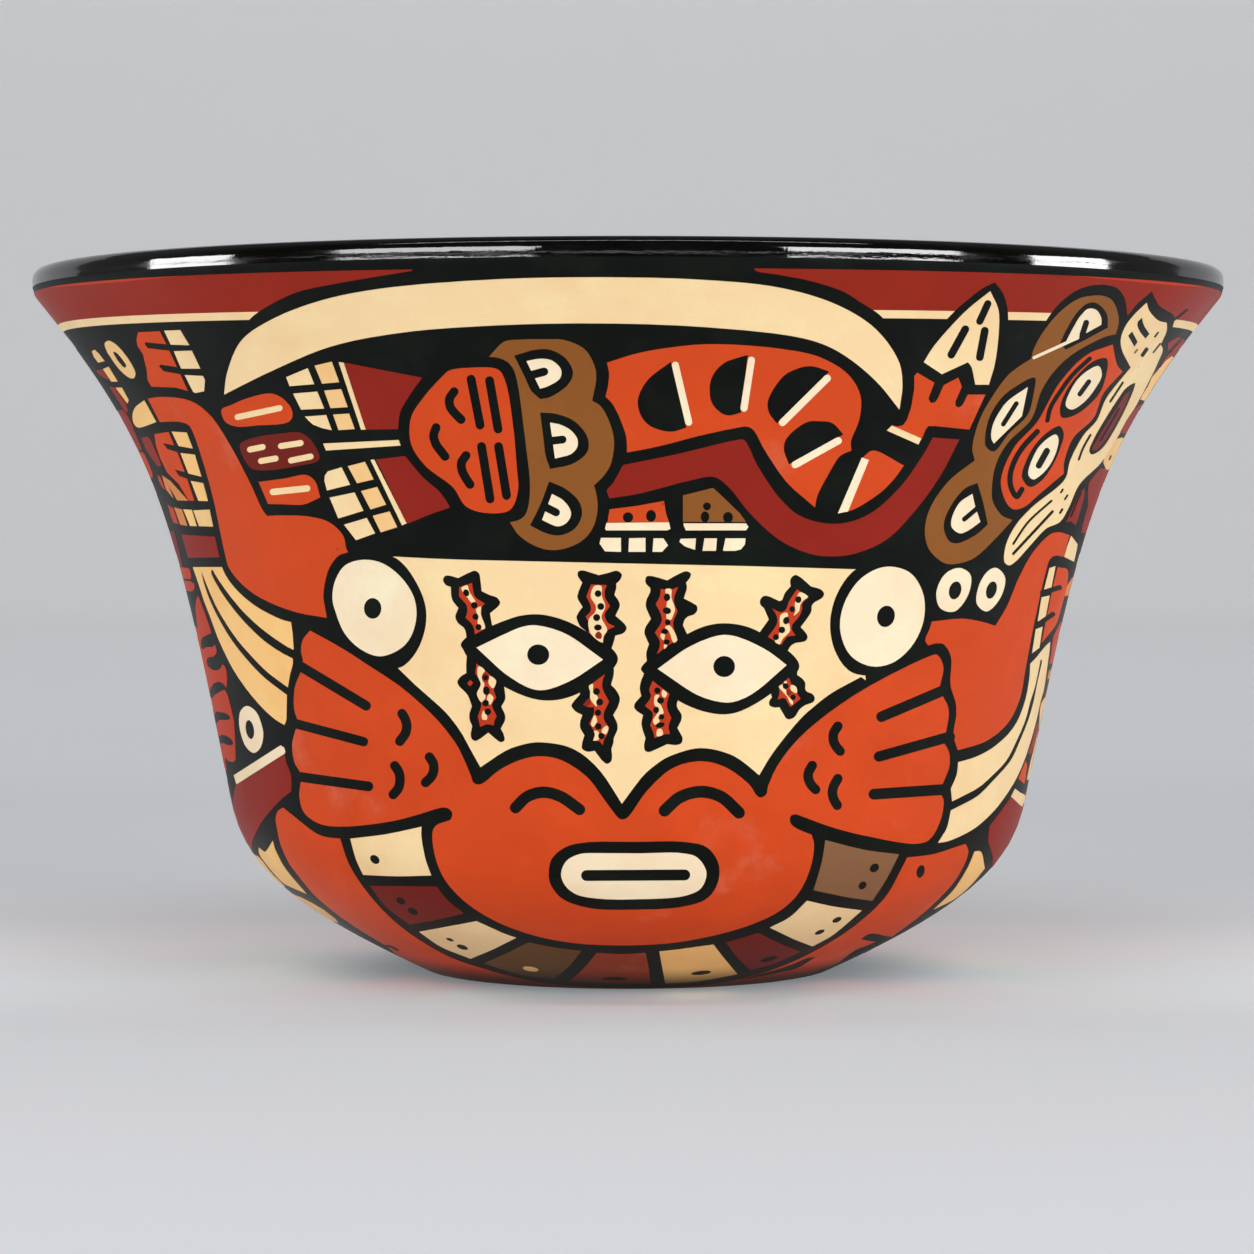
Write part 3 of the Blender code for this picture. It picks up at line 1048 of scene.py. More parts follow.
plume(
    edge=[
        [(450.7, 586.7), (445.5, 584.6), (442.8, 579.5), (445, 575.6), (449, 575.2), (458.3, 577.7)],
        [(468.4, 572.6), (475, 570.4), (479, 573), (480.6, 581), (481.6, 590.8)],
        [(489.5, 594.6), (497, 597.3), (500.2, 602), (498.5, 605.7), (490, 613)], [(492.2, 625.4)],
        [(480, 634)], [(466.5, 637.9)], [(464.6, 628.8), (457.5, 622.2), (455.2, 616.5), (458.3, 607.8)],
        [(452.6, 600.5), (451, 594.5), (450.7, 586.7)],
    ],
    web=[
        [(459.1, 587), (472, 582.6)], [(472.7, 588.3), (475, 596.4), (484.9, 603.4)],
        [(481.6, 607), (481.3, 613.8), (485.4, 628.1)], [(474.9, 634.1)],
        [(473.8, 627.3), (471, 622.5), (465.4, 617.3)], [(467.3, 611.6), (466.5, 605), (459.1, 596)],
    ],
    ribbons=[
        ((461.3, 587.8), (467.3, 585), (469.2, 591), (475.4, 601.9), (471.6, 602.4), (467.3, 597)),
        ((476, 609), (480.8, 606.2), (480.8, 613.8), (485, 628), (480.8, 629), (477.5, 622.5),
         (478.4, 617)),
    ],
    dots=[(466.2, 592.5, 3, 3.6, -25), (474.2, 605, 3.4), (475.4, 616.4, 3.2), (478.5, 626.8, 3.1)],
)
plume(
    edge=[
        [(582.2, 582.3), (577.6, 575.3), (578.2, 571.3), (582, 570), (598.7, 574.8)],
        [(608, 572.6), (617, 570.4), (621.8, 574), (620.4, 579.1), (616.2, 583.4)],
        [(616.3, 587.8), (614.4, 594.5)], [(618.2, 599.7), (619.9, 605), (615.5, 615.4)],
        [(625.3, 624.6), (626.6, 628.4), (623.5, 632.8), (615.4, 635.4)], [(613.9, 641.4), (611.4, 649)],
        [(598, 640)], [(580, 626.2)], [(576.5, 617.5), (578.1, 612.7), (582.5, 606.7)],
        [(577.4, 597.5), (578.1, 592.6), (582.2, 582.3)],
    ],
    web=[
        [(591.1, 584.2), (607, 584.8)], [(604.9, 590), (605, 597), (610.1, 605.9)],
        [(604.7, 614), (607.5, 622), (615, 626.2)], [(607.9, 629.5)], [(604.7, 634.4), (602.5, 643)],
        [(588.4, 632.2)], [(590, 626.2), (585.7, 616.2)], [(590.5, 611), (590.9, 606.2), (586.3, 596.2)],
        [(591.1, 584.2)],
    ],
    ribbons=[
        ((594.4, 585.7), (601.2, 585.7), (602, 596), (605.3, 606), (601.5, 617), (607.2, 629.5),
         (603.5, 636.5), (602.5, 642.3), (590.5, 632.8), (588.8, 619), (595, 612), (596, 606),
         (590.7, 596)),
    ],
    dots=[(598.1, 593.3, 3.4), (600.8, 606.2, 3.5), (596.6, 617.3, 3.6), (597.9, 627.2, 3.9, 3.1)],
    embers=[((598.5, 631), (601.8, 634.5), (600.8, 638.5), (596.5, 638), (595, 634.6))],
)
plume(
    edge=[
        [(466.8, 654), (466, 665.4), (466.2, 672.7)],
        [(460.1, 676.8), (457.2, 681.7), (459, 686), (467.2, 694.4), (471.8, 706)],
        [(469.4, 713.5), (469.6, 720), (472.1, 725.6)],
        [(470.6, 734), (471.6, 738.6), (475.2, 740.8), (480, 738.6), (488.2, 732.4)],
        [(495.4, 738.6), (500.5, 742), (504.4, 740.3), (504.1, 735), (500.8, 728.3)],
        [(505, 720), (505.2, 715), (501.3, 706.4)], [(505.4, 698.5), (505, 693), (504, 684)], [(480, 660)],
    ],
    web=[
        [(476.4, 663.3), (496.2, 680.1)], [(493.6, 687), (494.3, 692), (496.2, 697.4)],
        [(491.9, 704.5), (496.7, 716)], [(494.3, 720.7), (493.8, 725.3)], [(487, 724), (480.2, 726.7)],
        [(478.8, 720.7), (477.8, 716)], [(481.3, 705), (480.2, 700), (476.7, 693)],
        [(480.5, 685), (480.5, 681.7), (475.3, 673)],
    ],
    ribbons=[
        ((478.6, 666), (484.8, 670.3), (481.6, 676.8), (484.5, 684.4), (483, 689.3), (485.6, 695.2),
         (484.2, 700), (481.6, 702), (476.9, 693.6), (480.8, 684), (477.5, 674.6)),
        ((489.4, 675.7), (496, 680.3), (493.2, 688), (489, 684)),
        ((489.4, 693.6), (493.4, 697.4), (490, 704.5), (486.8, 699)),
        ((483.5, 710.4), (487.2, 716.4), (486.5, 719.4), (482.6, 719.2), (481.6, 716)),
    ],
    dots=[(485.4, 677.4, 2.7), (486.3, 690.5, 3.4, 4.3), (485.6, 702.8, 3.4), (487.8, 711.5, 3.4)],
    embers=[((484.6, 672), (489.4, 676.3), (487.4, 681.4), (483, 681), (481.8, 676))],
)
paint("rust", ember_diamond=panel((470.3, 679.7), (473, 682.6), (470, 686), (467.2, 683.2)))
plume(
    edge=[
        [(613.6, 664), (613.8, 674), (611.1, 684.5)],
        [(617, 691), (619.9, 698.5), (617.7, 707), (613.2, 714.8)],
        [(617.1, 722.7), (617.5, 729), (613.8, 738)],
        [(613.4, 743), (611.5, 748.5), (612.1, 755), (611.2, 761), (607.2, 763.7), (603, 761.3),
         (594.7, 750.6)],
        [(587.5, 751.5), (582.2, 748.6), (582, 743.5), (584.4, 735.2)],
        [(580.2, 727.6), (580, 722), (582.3, 714.8)],
        [(574.7, 710.6), (571.4, 705.5), (573.5, 701.5), (579.8, 694.2)], [(579.5, 688)], [(604, 672)],
    ],
    web=[
        [(605, 673.9), (602.3, 681.5), (602.8, 689), (609.1, 701.5)],
        [(603.6, 714), (604.4, 720.5), (608.9, 727.3)], [(606.8, 734.8), (603.8, 740), (602.9, 745.2)],
        [(599.5, 741.3), (592.9, 740.6)], [(594.7, 734.2), (593.5, 730), (589.2, 723.3)],
        [(593.7, 714), (594.2, 707)], [(587.3, 706.7)], [(583.2, 704.3)],
        [(589.8, 697.3), (590.2, 692), (588.6, 686)], [(605, 673.9)],
    ],
    ribbons=[
        ((588.9, 685.8), (592.9, 683.6), (593.2, 691.2), (598, 697.3), (596.2, 701.5), (596.8, 706.4),
         (590.5, 699), (590.2, 691.2)),
        ((594.7, 714.8), (597, 719), (596.6, 722.5), (592.9, 726.7), (591.1, 723.9)),
        ((606.5, 725.5), (608.5, 727.6), (605.9, 733.9), (602, 732.4), (601.9, 729.5)),
        ((594.1, 730.6), (598, 731), (598.9, 739), (593.5, 740.2), (594.9, 734.5)),
    ],
    dots=[
        (596.5, 691.3, 3.5), (599.7, 701.8, 3.5), (598, 712.4, 3.2), (598.2, 726.1, 3.4),
        (601.4, 735.8, 3.3),
    ],
    embers=[((589.3, 698.3), (590.5, 703.5), (587.3, 706.2), (583.8, 704.3))],
)
plume(
    edge=[
        [(650.3, 587.8), (646.3, 583.8), (645.2, 580), (646.8, 576), (651, 575.6), (667.3, 580)],
        [(675, 575.5), (686, 570.9), (690.8, 573), (690, 577.5), (686.2, 582.3)],
        [(687, 587.2), (683.9, 598.1)],
        [(691.7, 602.2), (696.8, 605.6), (697.3, 610), (694, 614.2), (687.7, 616.5), (684.4, 620),
         (683, 625.1)],
        [(687.4, 634.3)], [(670, 648)], [(647, 662)], [(646.2, 653), (648.9, 643.8)],
        [(644.4, 632.5), (645.5, 627), (650.9, 618.5)],
        [(645.8, 606), (646.6, 599.3), (650.3, 591.2), (650.3, 587.8)],
    ],
    web=[
        [(660.7, 588.7), (671.6, 589), (678.2, 586.7)], [(674.4, 596), (674, 602.2), (677.6, 611)],
        [(673.6, 620), (673.3, 626.3), (677.6, 639.8)], [(667.6, 645.2)], [(656.9, 654)],
        [(659.7, 646.5), (659.6, 640.5), (654.9, 632.3)], [(661.7, 621), (661.2, 614.8), (655.8, 604)],
        [(660, 595.3), (660.7, 588.7)],
    ],
    ribbons=[
        ((665.6, 589), (671.3, 589), (671.4, 597), (675, 609), (673, 615.4), (670.7, 619.7),
         (667.2, 619.4), (666.6, 604.5), (667.3, 600)),
        ((665, 627), (669.4, 625), (677.2, 639.8), (673.6, 642.3), (669, 631)),
        ((661, 633.6), (664.6, 633.6), (663.6, 640), (660.5, 636.8)),
        ((664.2, 644), (667.4, 645.2), (664.2, 648.6)),
    ],
    dots=[
        (667, 597, 3.3, 3.9), (667, 610.4, 4.2, 3.4, 15), (667.7, 622, 2.8, 3.2), (664.7, 631.2, 3.6, 2.7),
        (666.7, 641.8, 3.2, 2.8),
    ],
)
plume(
    edge=[
        [(763.9, 607.8), (760.4, 604.4), (760, 600), (763, 596), (767.5, 595.6), (779.5, 600.9)],
        [(782, 599.6), (784.8, 592.8), (790.7, 585.8)],
        [(790, 581.5), (791.3, 577.2), (795.5, 574.6), (799.5, 576.2), (811.1, 586.1)],
        [(821.3, 589.4), (824.2, 593.5), (822.5, 597.4), (814.8, 602), (811.9, 605.5), (811.4, 611.5),
         (800.7, 626.9)],
        [(806.5, 633.3), (807.7, 637), (805.6, 640.7), (795, 643), (790.7, 646), (787, 652)], [(772, 640)],
        [(759.6, 632)], [(768.8, 619.2)], [(763.9, 607.8)],
    ],
    web=[
        [(797.1, 589.1), (808.3, 596.5)], [(802.4, 603.2), (802, 609), (799.5, 615.6), (792.4, 624)],
        [(791.8, 629), (795.6, 635.3)], [(787.7, 636.3), (783.6, 641), (781.5, 644.7)], [(768, 636.6)],
        [(773, 630), (777, 623.5), (777.2, 617), (772.3, 607.8)],
        [(777, 610.8), (782, 611.8), (786.2, 608.8), (789, 601.5), (797.1, 589.1)],
    ],
    ribbons=[
        ((799.9, 592), (808, 596.5), (803.5, 600), (800.2, 604.7), (799, 611), (793.8, 615.2),
         (795.5, 610.5), (794.8, 604)),
        ((780, 616), (782.5, 613.3), (786.6, 612.3), (788.2, 615.5), (784, 619), (784, 623),
         (788.7, 623), (790, 627), (789.6, 631.5), (782.8, 638.4), (779.5, 644), (775, 641),
         (779.2, 633.5), (779.8, 626)),
    ],
    dots=[
        (798.4, 599.3, 3.2, 3.5), (792.2, 608.8, 2.7, 3), (786.2, 620.3, 3.2, 3.8, 20), (781.9, 629.6, 3.4),
        (776, 636.8, 3.1),
    ],
)
plume(
    edge=[
        [(644.5, 672), (640.4, 682.7), (639.8, 689), (641.2, 695.7)],
        [(635, 703), (634.1, 707), (636.5, 710.5), (643, 714.8)],
        [(641.4, 723), (643.2, 731.6), (645.5, 737.8)],
        [(644, 746), (645, 750.4), (648.5, 751.9), (656, 749.2), (667.2, 743.9)],
        [(677, 744.8), (681.6, 742.6), (682.6, 738), (677.4, 727.8)],
        [(681.6, 719), (681.4, 714), (677.3, 707.3), (676.9, 704), (678.2, 699)], [(660, 686)],
    ],
    web=[
        [(652.7, 680.6), (669.5, 693.6)], [(667.1, 702), (667.2, 708), (671.3, 717.9)],
        [(668.5, 726), (670, 733.7)], [(663.6, 734.2), (654.7, 737.8)], [(653.4, 732), (650.1, 725)],
        [(652.5, 718), (652.6, 712.5), (645, 705.6)],
        [(649.3, 700), (651, 695.4), (649.3, 689.5), (652.7, 680.6)],
    ],
    ribbons=[
        ((662.6, 689.6), (667.2, 693), (664.9, 697.4), (662, 695.4)),
        ((655.2, 695), (659.3, 694.9), (657, 700.5), (660.3, 704), (663.5, 712.8), (658.2, 717.5),
         (659.8, 721), (655, 724.5), (652.9, 720.4), (658.8, 710), (654.4, 704.6), (654.2, 699.5)),
        ((657.3, 729.4), (661.2, 728.6), (663, 734.2), (657, 736)),
    ],
    dots=[
        (657.3, 690.3, 3.2), (660.6, 700.3, 3.5, 3.2), (656.2, 709.7, 3, 3.3), (661.6, 716.6, 2.8),
        (660.2, 724.8, 4.6, 2.7, -15),
    ],
)
plume(
    edge=[
        [(797.5, 668), (797.3, 674.6)], [(802.9, 678.8), (805.5, 683), (805.4, 689.3), (807.5, 691.8)],
        [(812.3, 693.6), (814.8, 697.3), (813.6, 701.6), (805, 705.1), (799.7, 709.3), (794.5, 717),
         (789.6, 719.3)],
        [(786.2, 718.2), (783.6, 714.2), (779.4, 707)],
        [(774, 707.3), (769.4, 705), (769.2, 701), (771.8, 697)], [(769.9, 690)], [(786, 676)],
    ],
    web=[
        [(789, 677.5), (791.1, 683.7)], [(795, 685.4), (797.1, 688.3), (796.9, 692.5), (800.8, 698.6)],
        [(790.4, 706.8)], [(787.8, 702.3), (786, 699), (783.6, 697.7), (777.6, 699.3)],
        [(779.6, 692.5), (778.7, 686.5)], [(789, 677.5)],
    ],
    ribbons=[
        ((779, 686.5), (782.4, 684.2), (783, 687.5), (786.1, 690), (786.5, 694), (793, 701.6),
         (792.3, 704.6), (789.9, 702.3), (787.3, 696.7), (782.2, 690.7)),
        ((783.9, 682.2), (786.2, 680.4), (786.8, 683)),
        ((791.1, 685), (794.8, 685.6), (796.9, 688.4), (796.6, 692.8), (790.7, 689.6)),
    ],
    dots=[(785.7, 685.8, 3.2, 2.9, 25), (793.1, 697, 2.8)],
    embers=[((789, 688.6), (792.4, 692), (790, 694.6), (787, 694.5), (786.3, 691))],
)

# Mouth mask with its two hands
# The orange mask is the lower half of the face. It spreads into a hand at each side, with black finger lines,
# whisker marks and nostrils brushed over it, and a cream mouth.
paint("black", mask_edge=outline(
    [(394, 664), (415.3, 684.7), (445.9, 712.3), (461.2, 732.2), (470.4, 749), (480.4, 767)],
    [(507, 749.8), (522.5, 744.4), (537.8, 742), (565.3, 745.6), (580.6, 752.8), (592.9, 762.8),
     (603.6, 775), (621.9, 803.6)],
    [(643.6, 775), (655.8, 764.3), (669.6, 756), (700.2, 747.8), (730.8, 754.3), (744.6, 762.8),
     (759.2, 775)],
    [(772.2, 753.6), (800.6, 718.4), (815.9, 704.6), (831.2, 693), (861, 676.6)], [(880, 690)],
    [(770, 840)], [(470, 840)], [(370, 670)], [(394, 664)],
))
paint("orange", mask_and_hands=outline(
    [(303, 660), (301, 650), (303, 639), (310, 630.3)],
    [(341.4, 647.7), (370.8, 666.7), (400, 686.2), (430.6, 713), (445.9, 729.9), (458.2, 747.5),
     (470.6, 775), (473.3, 782.3), (478.4, 784.4), (484, 782.3), (499.5, 769.7), (522.5, 758.9),
     (540.8, 756), (560.7, 759.7), (586.7, 776.5), (605.8, 801.6), (619, 818.2), (622.4, 819.3),
     (627.4, 817.4), (647.5, 790), (672.7, 768), (700.2, 761), (724.7, 766.6), (749.4, 784.5), (756.5, 795),
     (760.3, 797.4), (766.4, 794), (767.8, 786.7)],
    [(777, 766.3), (795.5, 741.8), (820, 719.4), (864.9, 688.5), (930.7, 655.6), (937, 654.4),
     (943.4, 666.3), (940, 685.5)],
    [(943, 696.2)], [(948, 706), (948.8, 715.3), (946, 732)], [(944.5, 743.2)],
    [(949, 752), (949.5, 766), (943, 783)], [(941.5, 795)],
    [(943.6, 800), (940.6, 820), (929, 839.7), (915.8, 843.4), (866, 835.6), (832.9, 827.3),
     (799.7, 815.2)],
    [(795.5, 814), (790.5, 816), (790.6, 823), (796.4, 828), (811.6, 834.4)],
    [(814, 843), (811.3, 864.6), (799.7, 891), (781.6, 909), (754.8, 922.5), (716.5, 934), (672, 942),
     (622.4, 944.5), (572.6, 942), (532.9, 934.3), (494.7, 920), (463.7, 900), (443.8, 877.5), (434, 851.3),
     (433, 829.7), (437.6, 824.2), (450.8, 819), (452, 812), (445.7, 807.3), (419, 814), (394, 820.6),
     (344.2, 826.3), (320.3, 823.8), (304.2, 812.6), (299.3, 795.7), (300.7, 782)],
    [(299.5, 771)], [(294.4, 762), (292.2, 743.8), (295.8, 728.4)], [(297.2, 719)],
    [(294, 708), (295, 686.3), (300.7, 672)], [(303, 660)],
))
WHISKER = 9.7
paint(
    "black",
    finger_lines=[
        stroke(10, (298, 664.5), (366, 705.5)), stroke(9.5, (292, 722.5), (363.5, 741.4)),
        stroke(9.8, (295, 776), (368.5, 786.2)), stroke(10.7, (946, 689), (881.5, 716.5)),
        stroke(10.5, (950, 736.4), (879, 756.3)), stroke(11, (948, 789), (874, 794)),
    ],
    whisker_marks=[
        stroke(WHISKER, (402, 713.3), (405.4, 719.6), (406.7, 725.7), (405.4, 732.9), (399.8, 741)),
        stroke(WHISKER, (429.4, 756.8), (433.3, 763.5), (433.7, 770), (431.4, 776.2), (425.5, 782.3)),
        stroke(WHISKER, (394.7, 765.5), (398.8, 772), (400, 780.3), (398.3, 788), (393.2, 794.3)),
        stroke(WHISKER, (837.9, 726), (833.8, 732.7), (833.5, 740.3), (836.3, 746.4), (840.2, 751)),
        stroke(WHISKER, (812.3, 765.3), (808.6, 772), (808.3, 778), (811.3, 784.7), (815.7, 789.3)),
        stroke(WHISKER, (837.9, 778.4), (833.8, 785.7), (832.4, 793), (834.3, 800), (837.3, 805)),
    ],
    nostrils=[
        stroke(11.5, (515.5, 807.5), (527, 796.5), (543, 792), (560, 796), (579.5, 809.3)),
        stroke(12, (664.5, 810.5), (680, 797), (701, 791.5), (721, 796.5), (739, 812.5)),
    ],
    mouth_bed=blob(
        (548.6, 873), (552, 858), (566, 846.5), (585.9, 842), (635, 841.5), (685.4, 841.7), (707, 847),
        (718.5, 863), (718, 882), (707, 898), (680.4, 906.4), (635, 909), (590, 907.5), (562, 898),
        (550.5, 884),
    ),
)
paint("pale", mouth=blob(
    (561, 873.4), (566, 861), (579.3, 853.8), (600, 852.8), (640, 853), (680.4, 852.7), (697, 857),
    (706.5, 872), (701, 887.5), (685, 895), (640, 898.4), (597.5, 897.8), (575, 893), (564.4, 883.7),
))
paint("black", mouth_slit=stroke(11, (586.5, 875), (684.8, 874.4)))

# Sleeves and collar
# Orange sleeves run down from the hands and meet under the belly; between them a collar of nine panels
# follows the chin, each panel its own slip with one or two dots.
paint("orange", sleeves=outline(
    [(283, 807.3), (296.5, 818.2), (314.7, 832.2), (324.5, 836.4), (340, 838.2)],
    [(348.5, 863), (365.9, 890.3), (390.8, 917.6), (419, 939.2), (452, 957.4), (480, 967), (520, 977.5),
     (570, 984.5), (627, 986.5), (690, 985), (740, 978), (781.5, 965.8), (822.9, 946), (856, 924.3),
     (885.9, 896), (907.4, 857)],
    [(933.5, 853.7), (957.6, 846), (965.8, 843.4)],
    [(968.5, 851), (957.4, 877), (929, 907.7), (899.2, 931), (872, 949), (836, 963), (794, 977),
     (735, 986.5), (690, 992), (627, 995), (550, 992), (490, 986), (452, 979), (430, 972), (400, 956),
     (383, 943.5), (362, 930.8), (345, 919.5), (332, 910), (313.8, 894.1), (304.6, 883.4), (296.2, 872.7),
     (288.5, 862), (280, 842.8), (277, 828.3), (275.5, 818.4), (278.2, 810.5), (283, 807.3)],
))
paint("cream", collar_cream=[
    outline(
        [(350.2, 838.3), (385.8, 834), (421.4, 826.4)], [(421.2, 836), (425.6, 859.6), (431, 874.8)],
        [(397, 875.6), (363, 874.2)], [(356, 859), (350.2, 838.3)],
    ),
    outline(
        [(807.2, 900), (832.9, 905.7), (862, 909.7)], [(832.9, 934.3), (813, 945.4)],
        [(794.7, 938.4), (770.2, 926.8)], [(790, 916.5), (807.2, 900)],
    ),
])
paint("cream", collar_low_cream=outline(
    [(419, 931), (476.4, 920.5)], [(503, 932.6), (515.8, 937)], [(494.7, 947.5), (470.2, 957.8)],
    [(440, 945.5), (419, 931)],
))
paint("amber", collar_amber=outline(
    [(659.4, 950.8), (678.3, 948.8), (713.7, 943.8)], [(722.3, 955), (737.6, 973.2)],
    [(697.4, 980.4), (665.4, 982.6)], [(659.4, 950.8)],
))
paint("wine", collar_maroon=[
    outline(
        [(369.6, 885), (436.4, 885.8)], [(448, 900), (463.7, 912.6)], [(438.9, 918.5), (409, 923.8)],
        [(386, 906), (369.6, 885)],
    ),
    outline(
        [(726.4, 941.5), (739.5, 937.8), (759, 931.8)], [(779, 942), (801.4, 950.8)],
        [(778, 961.5), (751, 969.4)], [(737, 956), (726.4, 941.5)],
    ),
])
# This panel's greyed brown is painted sheen over the brown slip
paint("brown_sheen", collar_brown=outline(
    [(825.4, 839.7), (866, 849.7), (899.2, 853.8)], [(887, 878), (872.6, 900)],
    [(847.8, 896.5), (813.8, 889.5)], [(822, 861.3), (825.4, 839.7)],
))
paint("umber", collar_umber=outline(
    [(528, 941.4), (554.4, 946.7), (581.3, 950)], [(571, 963), (554.4, 978.2)],
    [(517, 973), (483.4, 962.4)], [(506.3, 952.5), (528, 941.4)],
))
paint("sienna", collar_red=outline(
    [(596.7, 952), (622.4, 953.3), (645.7, 952)], [(648.5, 966), (650.6, 982.7)],
    [(610, 982.5), (569.3, 980)], [(583, 968), (596.7, 952)],
))
paint(
    "black",
    collar_dots=[
        dot(374.7, 859, 5.3, 4, 40), dot(400.7, 900, 5, 3, 30), dot(412.7, 910.5, 5.5, 3, 28),
        dot(449.6, 938.8, 4, 1.6, 20), dot(462, 946.3, 6, 2.4, 18), dot(614.6, 977.7, 13, 1.8),
        dot(701.2, 972, 10.3, 2.3, -6), dot(769.3, 958, 9, 2.2, -14), dot(837.3, 919, 5, 2.6, -25),
        dot(820, 931.3, 5.3, 2.2, -22), dot(874.5, 867.4, 5, 4, -40), dot(862.7, 884.8, 4.5, 3.5, -45),
        dot(920.8, 870.8, 4, 6.5, 15),
    ],
    sleeve_smudges=[
        outline(
            [(861.3, 938.7), (865.5, 935), (870.7, 932.7), (877.1, 932.9), (886, 935)], [(893, 936)],
            [(868, 953)], [(836, 964)], [(853.9, 950.3), (859.2, 947.6), (866.5, 945), (876, 941)],
            [(861.3, 938.7)],
        ),
        outline(
            [(740, 979), (751, 975.5), (775, 969.3), (794, 963), (808.7, 956.8), (816, 956.3)],
            [(808.7, 960.8), (802.3, 965), (794, 968.7), (780, 971.8), (764, 975), (740, 979)],
        ),
        stroke(2.5, (383.5, 945), (390, 945.6), (397, 949)),
    ],
)
paint("amber", collar_pale_dot=dot(530.4, 968, 8, 2.3, 8))

# Capes at both sides
# Striped capes fall from the shoulders behind the hands: amber on the left, cream on the right.
paint(
    "amber",
    left_cape=outline(
        [(192.8, 566.8), (198.2, 582.6), (203.9, 600.4), (210.3, 617), (218.3, 638.8), (225.2, 653.7),
         (233.2, 669.2), (244.7, 686.5), (256.2, 700.8), (267.7, 712.9), (276.8, 720.3), (284.3, 724.7)],
        [(286, 720.9), (286.6, 707.7), (286.8, 694.8)], [(287.8, 687)],
        [(290.1, 673.3), (292.7, 663.5), (292.6, 658.3)], [(293.5, 648)], [(292.4, 633.1), (290.9, 621.9)],
        [(281.4, 619.3), (270, 614.1), (258.5, 607.8), (248.1, 600.4), (239, 592.3), (230.9, 583.1),
         (225.2, 574.5), (221.7, 566.7)],
    ),
    left_underarm=outline(
        [(258.7, 847.1), (264.8, 851.3), (266.7, 849.7), (272.6, 840.2)],
        [(274.7, 848.2), (278.6, 856.6), (283.1, 865), (290.8, 875.4), (306, 893)],
        [(300, 890.3), (285.4, 883.8), (280.1, 879.6), (267.8, 865.8), (259, 852.8), (258.7, 847.1)],
    ),
    right_underarm=outline(
        [(974.8, 851), (980.8, 851), (985, 867.6)], [(972.5, 883), (955.6, 897.8), (934, 908.6)],
        [(953.6, 889.6), (968, 867), (974.8, 851)],
    ),
)
paint_to_sash(
    "amber", -1, [(257.9, 855.9), (263.3, 862), (267.8, 868.1), (274, 875.4), (281.6, 882.6), (285, 886)],
    [(300, 896.4), (311, 902), (324.5, 910), (335, 918), (338, 922)],
)
paint("black", cape_lines=[
    outline(
        [(200.8, 570), (203.9, 583.7), (208.5, 596.9), (214.3, 610.1), (222.9, 626.2), (233.2, 642.3),
         (250.4, 663.5), (265.4, 678.4), (286.8, 694.8)],
        [(290, 697)], [(291, 689)], [(287.6, 687)],
        [(267.7, 672.1), (252.7, 657.2), (235.5, 637.1), (217.1, 607.8), (206.8, 584.9), (200.8, 570)],
    ),
    outline(
        [(211.6, 569), (211, 572), (212.6, 576.8), (222.9, 594.6), (239, 615.8), (258.5, 635.9),
         (270, 645.1), (282.6, 653.2), (292.6, 658.3)],
        [(297, 660)], [(298, 652)], [(293.3, 649.7)],
        [(284.9, 645.1), (263.1, 629.6), (243.6, 611.8), (227.5, 592.3), (215.4, 574.5), (212.8, 569.8),
         (211.6, 569)],
    ),
])
paint("cream", right_cape=outline(
    [(1030.4, 663.6), (1029.9, 674.5), (1028.2, 687), (1025.6, 699.5), (1018.3, 719.5), (1010.5, 731.5),
     (1002.3, 740), (990, 749.5), (975, 757), (958.3, 762)],
    [(957, 774), (951, 788.5)], [(952.2, 801.2)], [(951, 810.2)], [(946.9, 828), (938.2, 842.4)],
    [(948.2, 840.7), (973.7, 828.6), (992.7, 812), (1002.5, 800), (1015.4, 780), (1024.4, 760), (1031, 740),
     (1036.4, 720), (1040.9, 700), (1043.8, 689.5), (1046.9, 669.8), (1049.6, 650), (1050.3, 641.5)],
    [(1045, 646.5), (1036, 657.8), (1030.4, 663.6)],
))
paint("black", right_cape_line=outline(
    [(1040.6, 659), (1037.5, 675.2), (1034.4, 688.6), (1030.6, 700), (1025.3, 720), (1016.8, 740),
     (1006.5, 760), (990, 777.5), (977.7, 787.8), (952.2, 801.2)],
    [(948, 806)], [(951, 810.2)],
    [(977.7, 795.8), (993.6, 780), (1011, 760), (1020.3, 740), (1028.4, 720), (1034.2, 700), (1037, 685),
     (1039.7, 672.5), (1042, 660), (1040.6, 659)],
))
paint_to_sash("ochre", 1, [
    (1044.6, 697.5), (1041.3, 703.4), (1040, 710), (1039.4, 720), (1038.7, 730), (1036, 740), (1033.8, 750),
    (1031, 760), (1028.8, 770.4), (1026.9, 780),
])
paint_to_sash("maroon", 1, [(1010.5, 797.6), (989.5, 826), (988, 840), (993, 856), (992.4, 866.8)])
paint("cream", right_block_edge=panel((1015.2, 788.5), (1025.8, 796.5), (1022, 806.5), (1011.2, 796.5)))
paint("red", right_leaf=blob(
    (1037, 722), (1033.8, 734.6), (1030.2, 747), (1028, 751.6), (1030.6, 754.3), (1033.8, 747), (1036, 739),
    (1038.4, 727),
))
paint("orange", right_leaf_end=panel(
    (1025.7, 760.5), (1022.2, 769.5), (1018.6, 778.4), (1024.4, 783.8), (1025.7, 776.6), (1027.3, 765),
))
paint("maroon", left_block=outline(
    [(284.5, 754), (286, 762), (290.8, 774.7), (291.3, 790.8)],
    [(279.6, 800.7), (261.4, 822.4), (252, 843), (252.3, 849)],
    [(243, 837.8), (234.7, 815.4), (233, 800), (235.4, 785.2)],
))
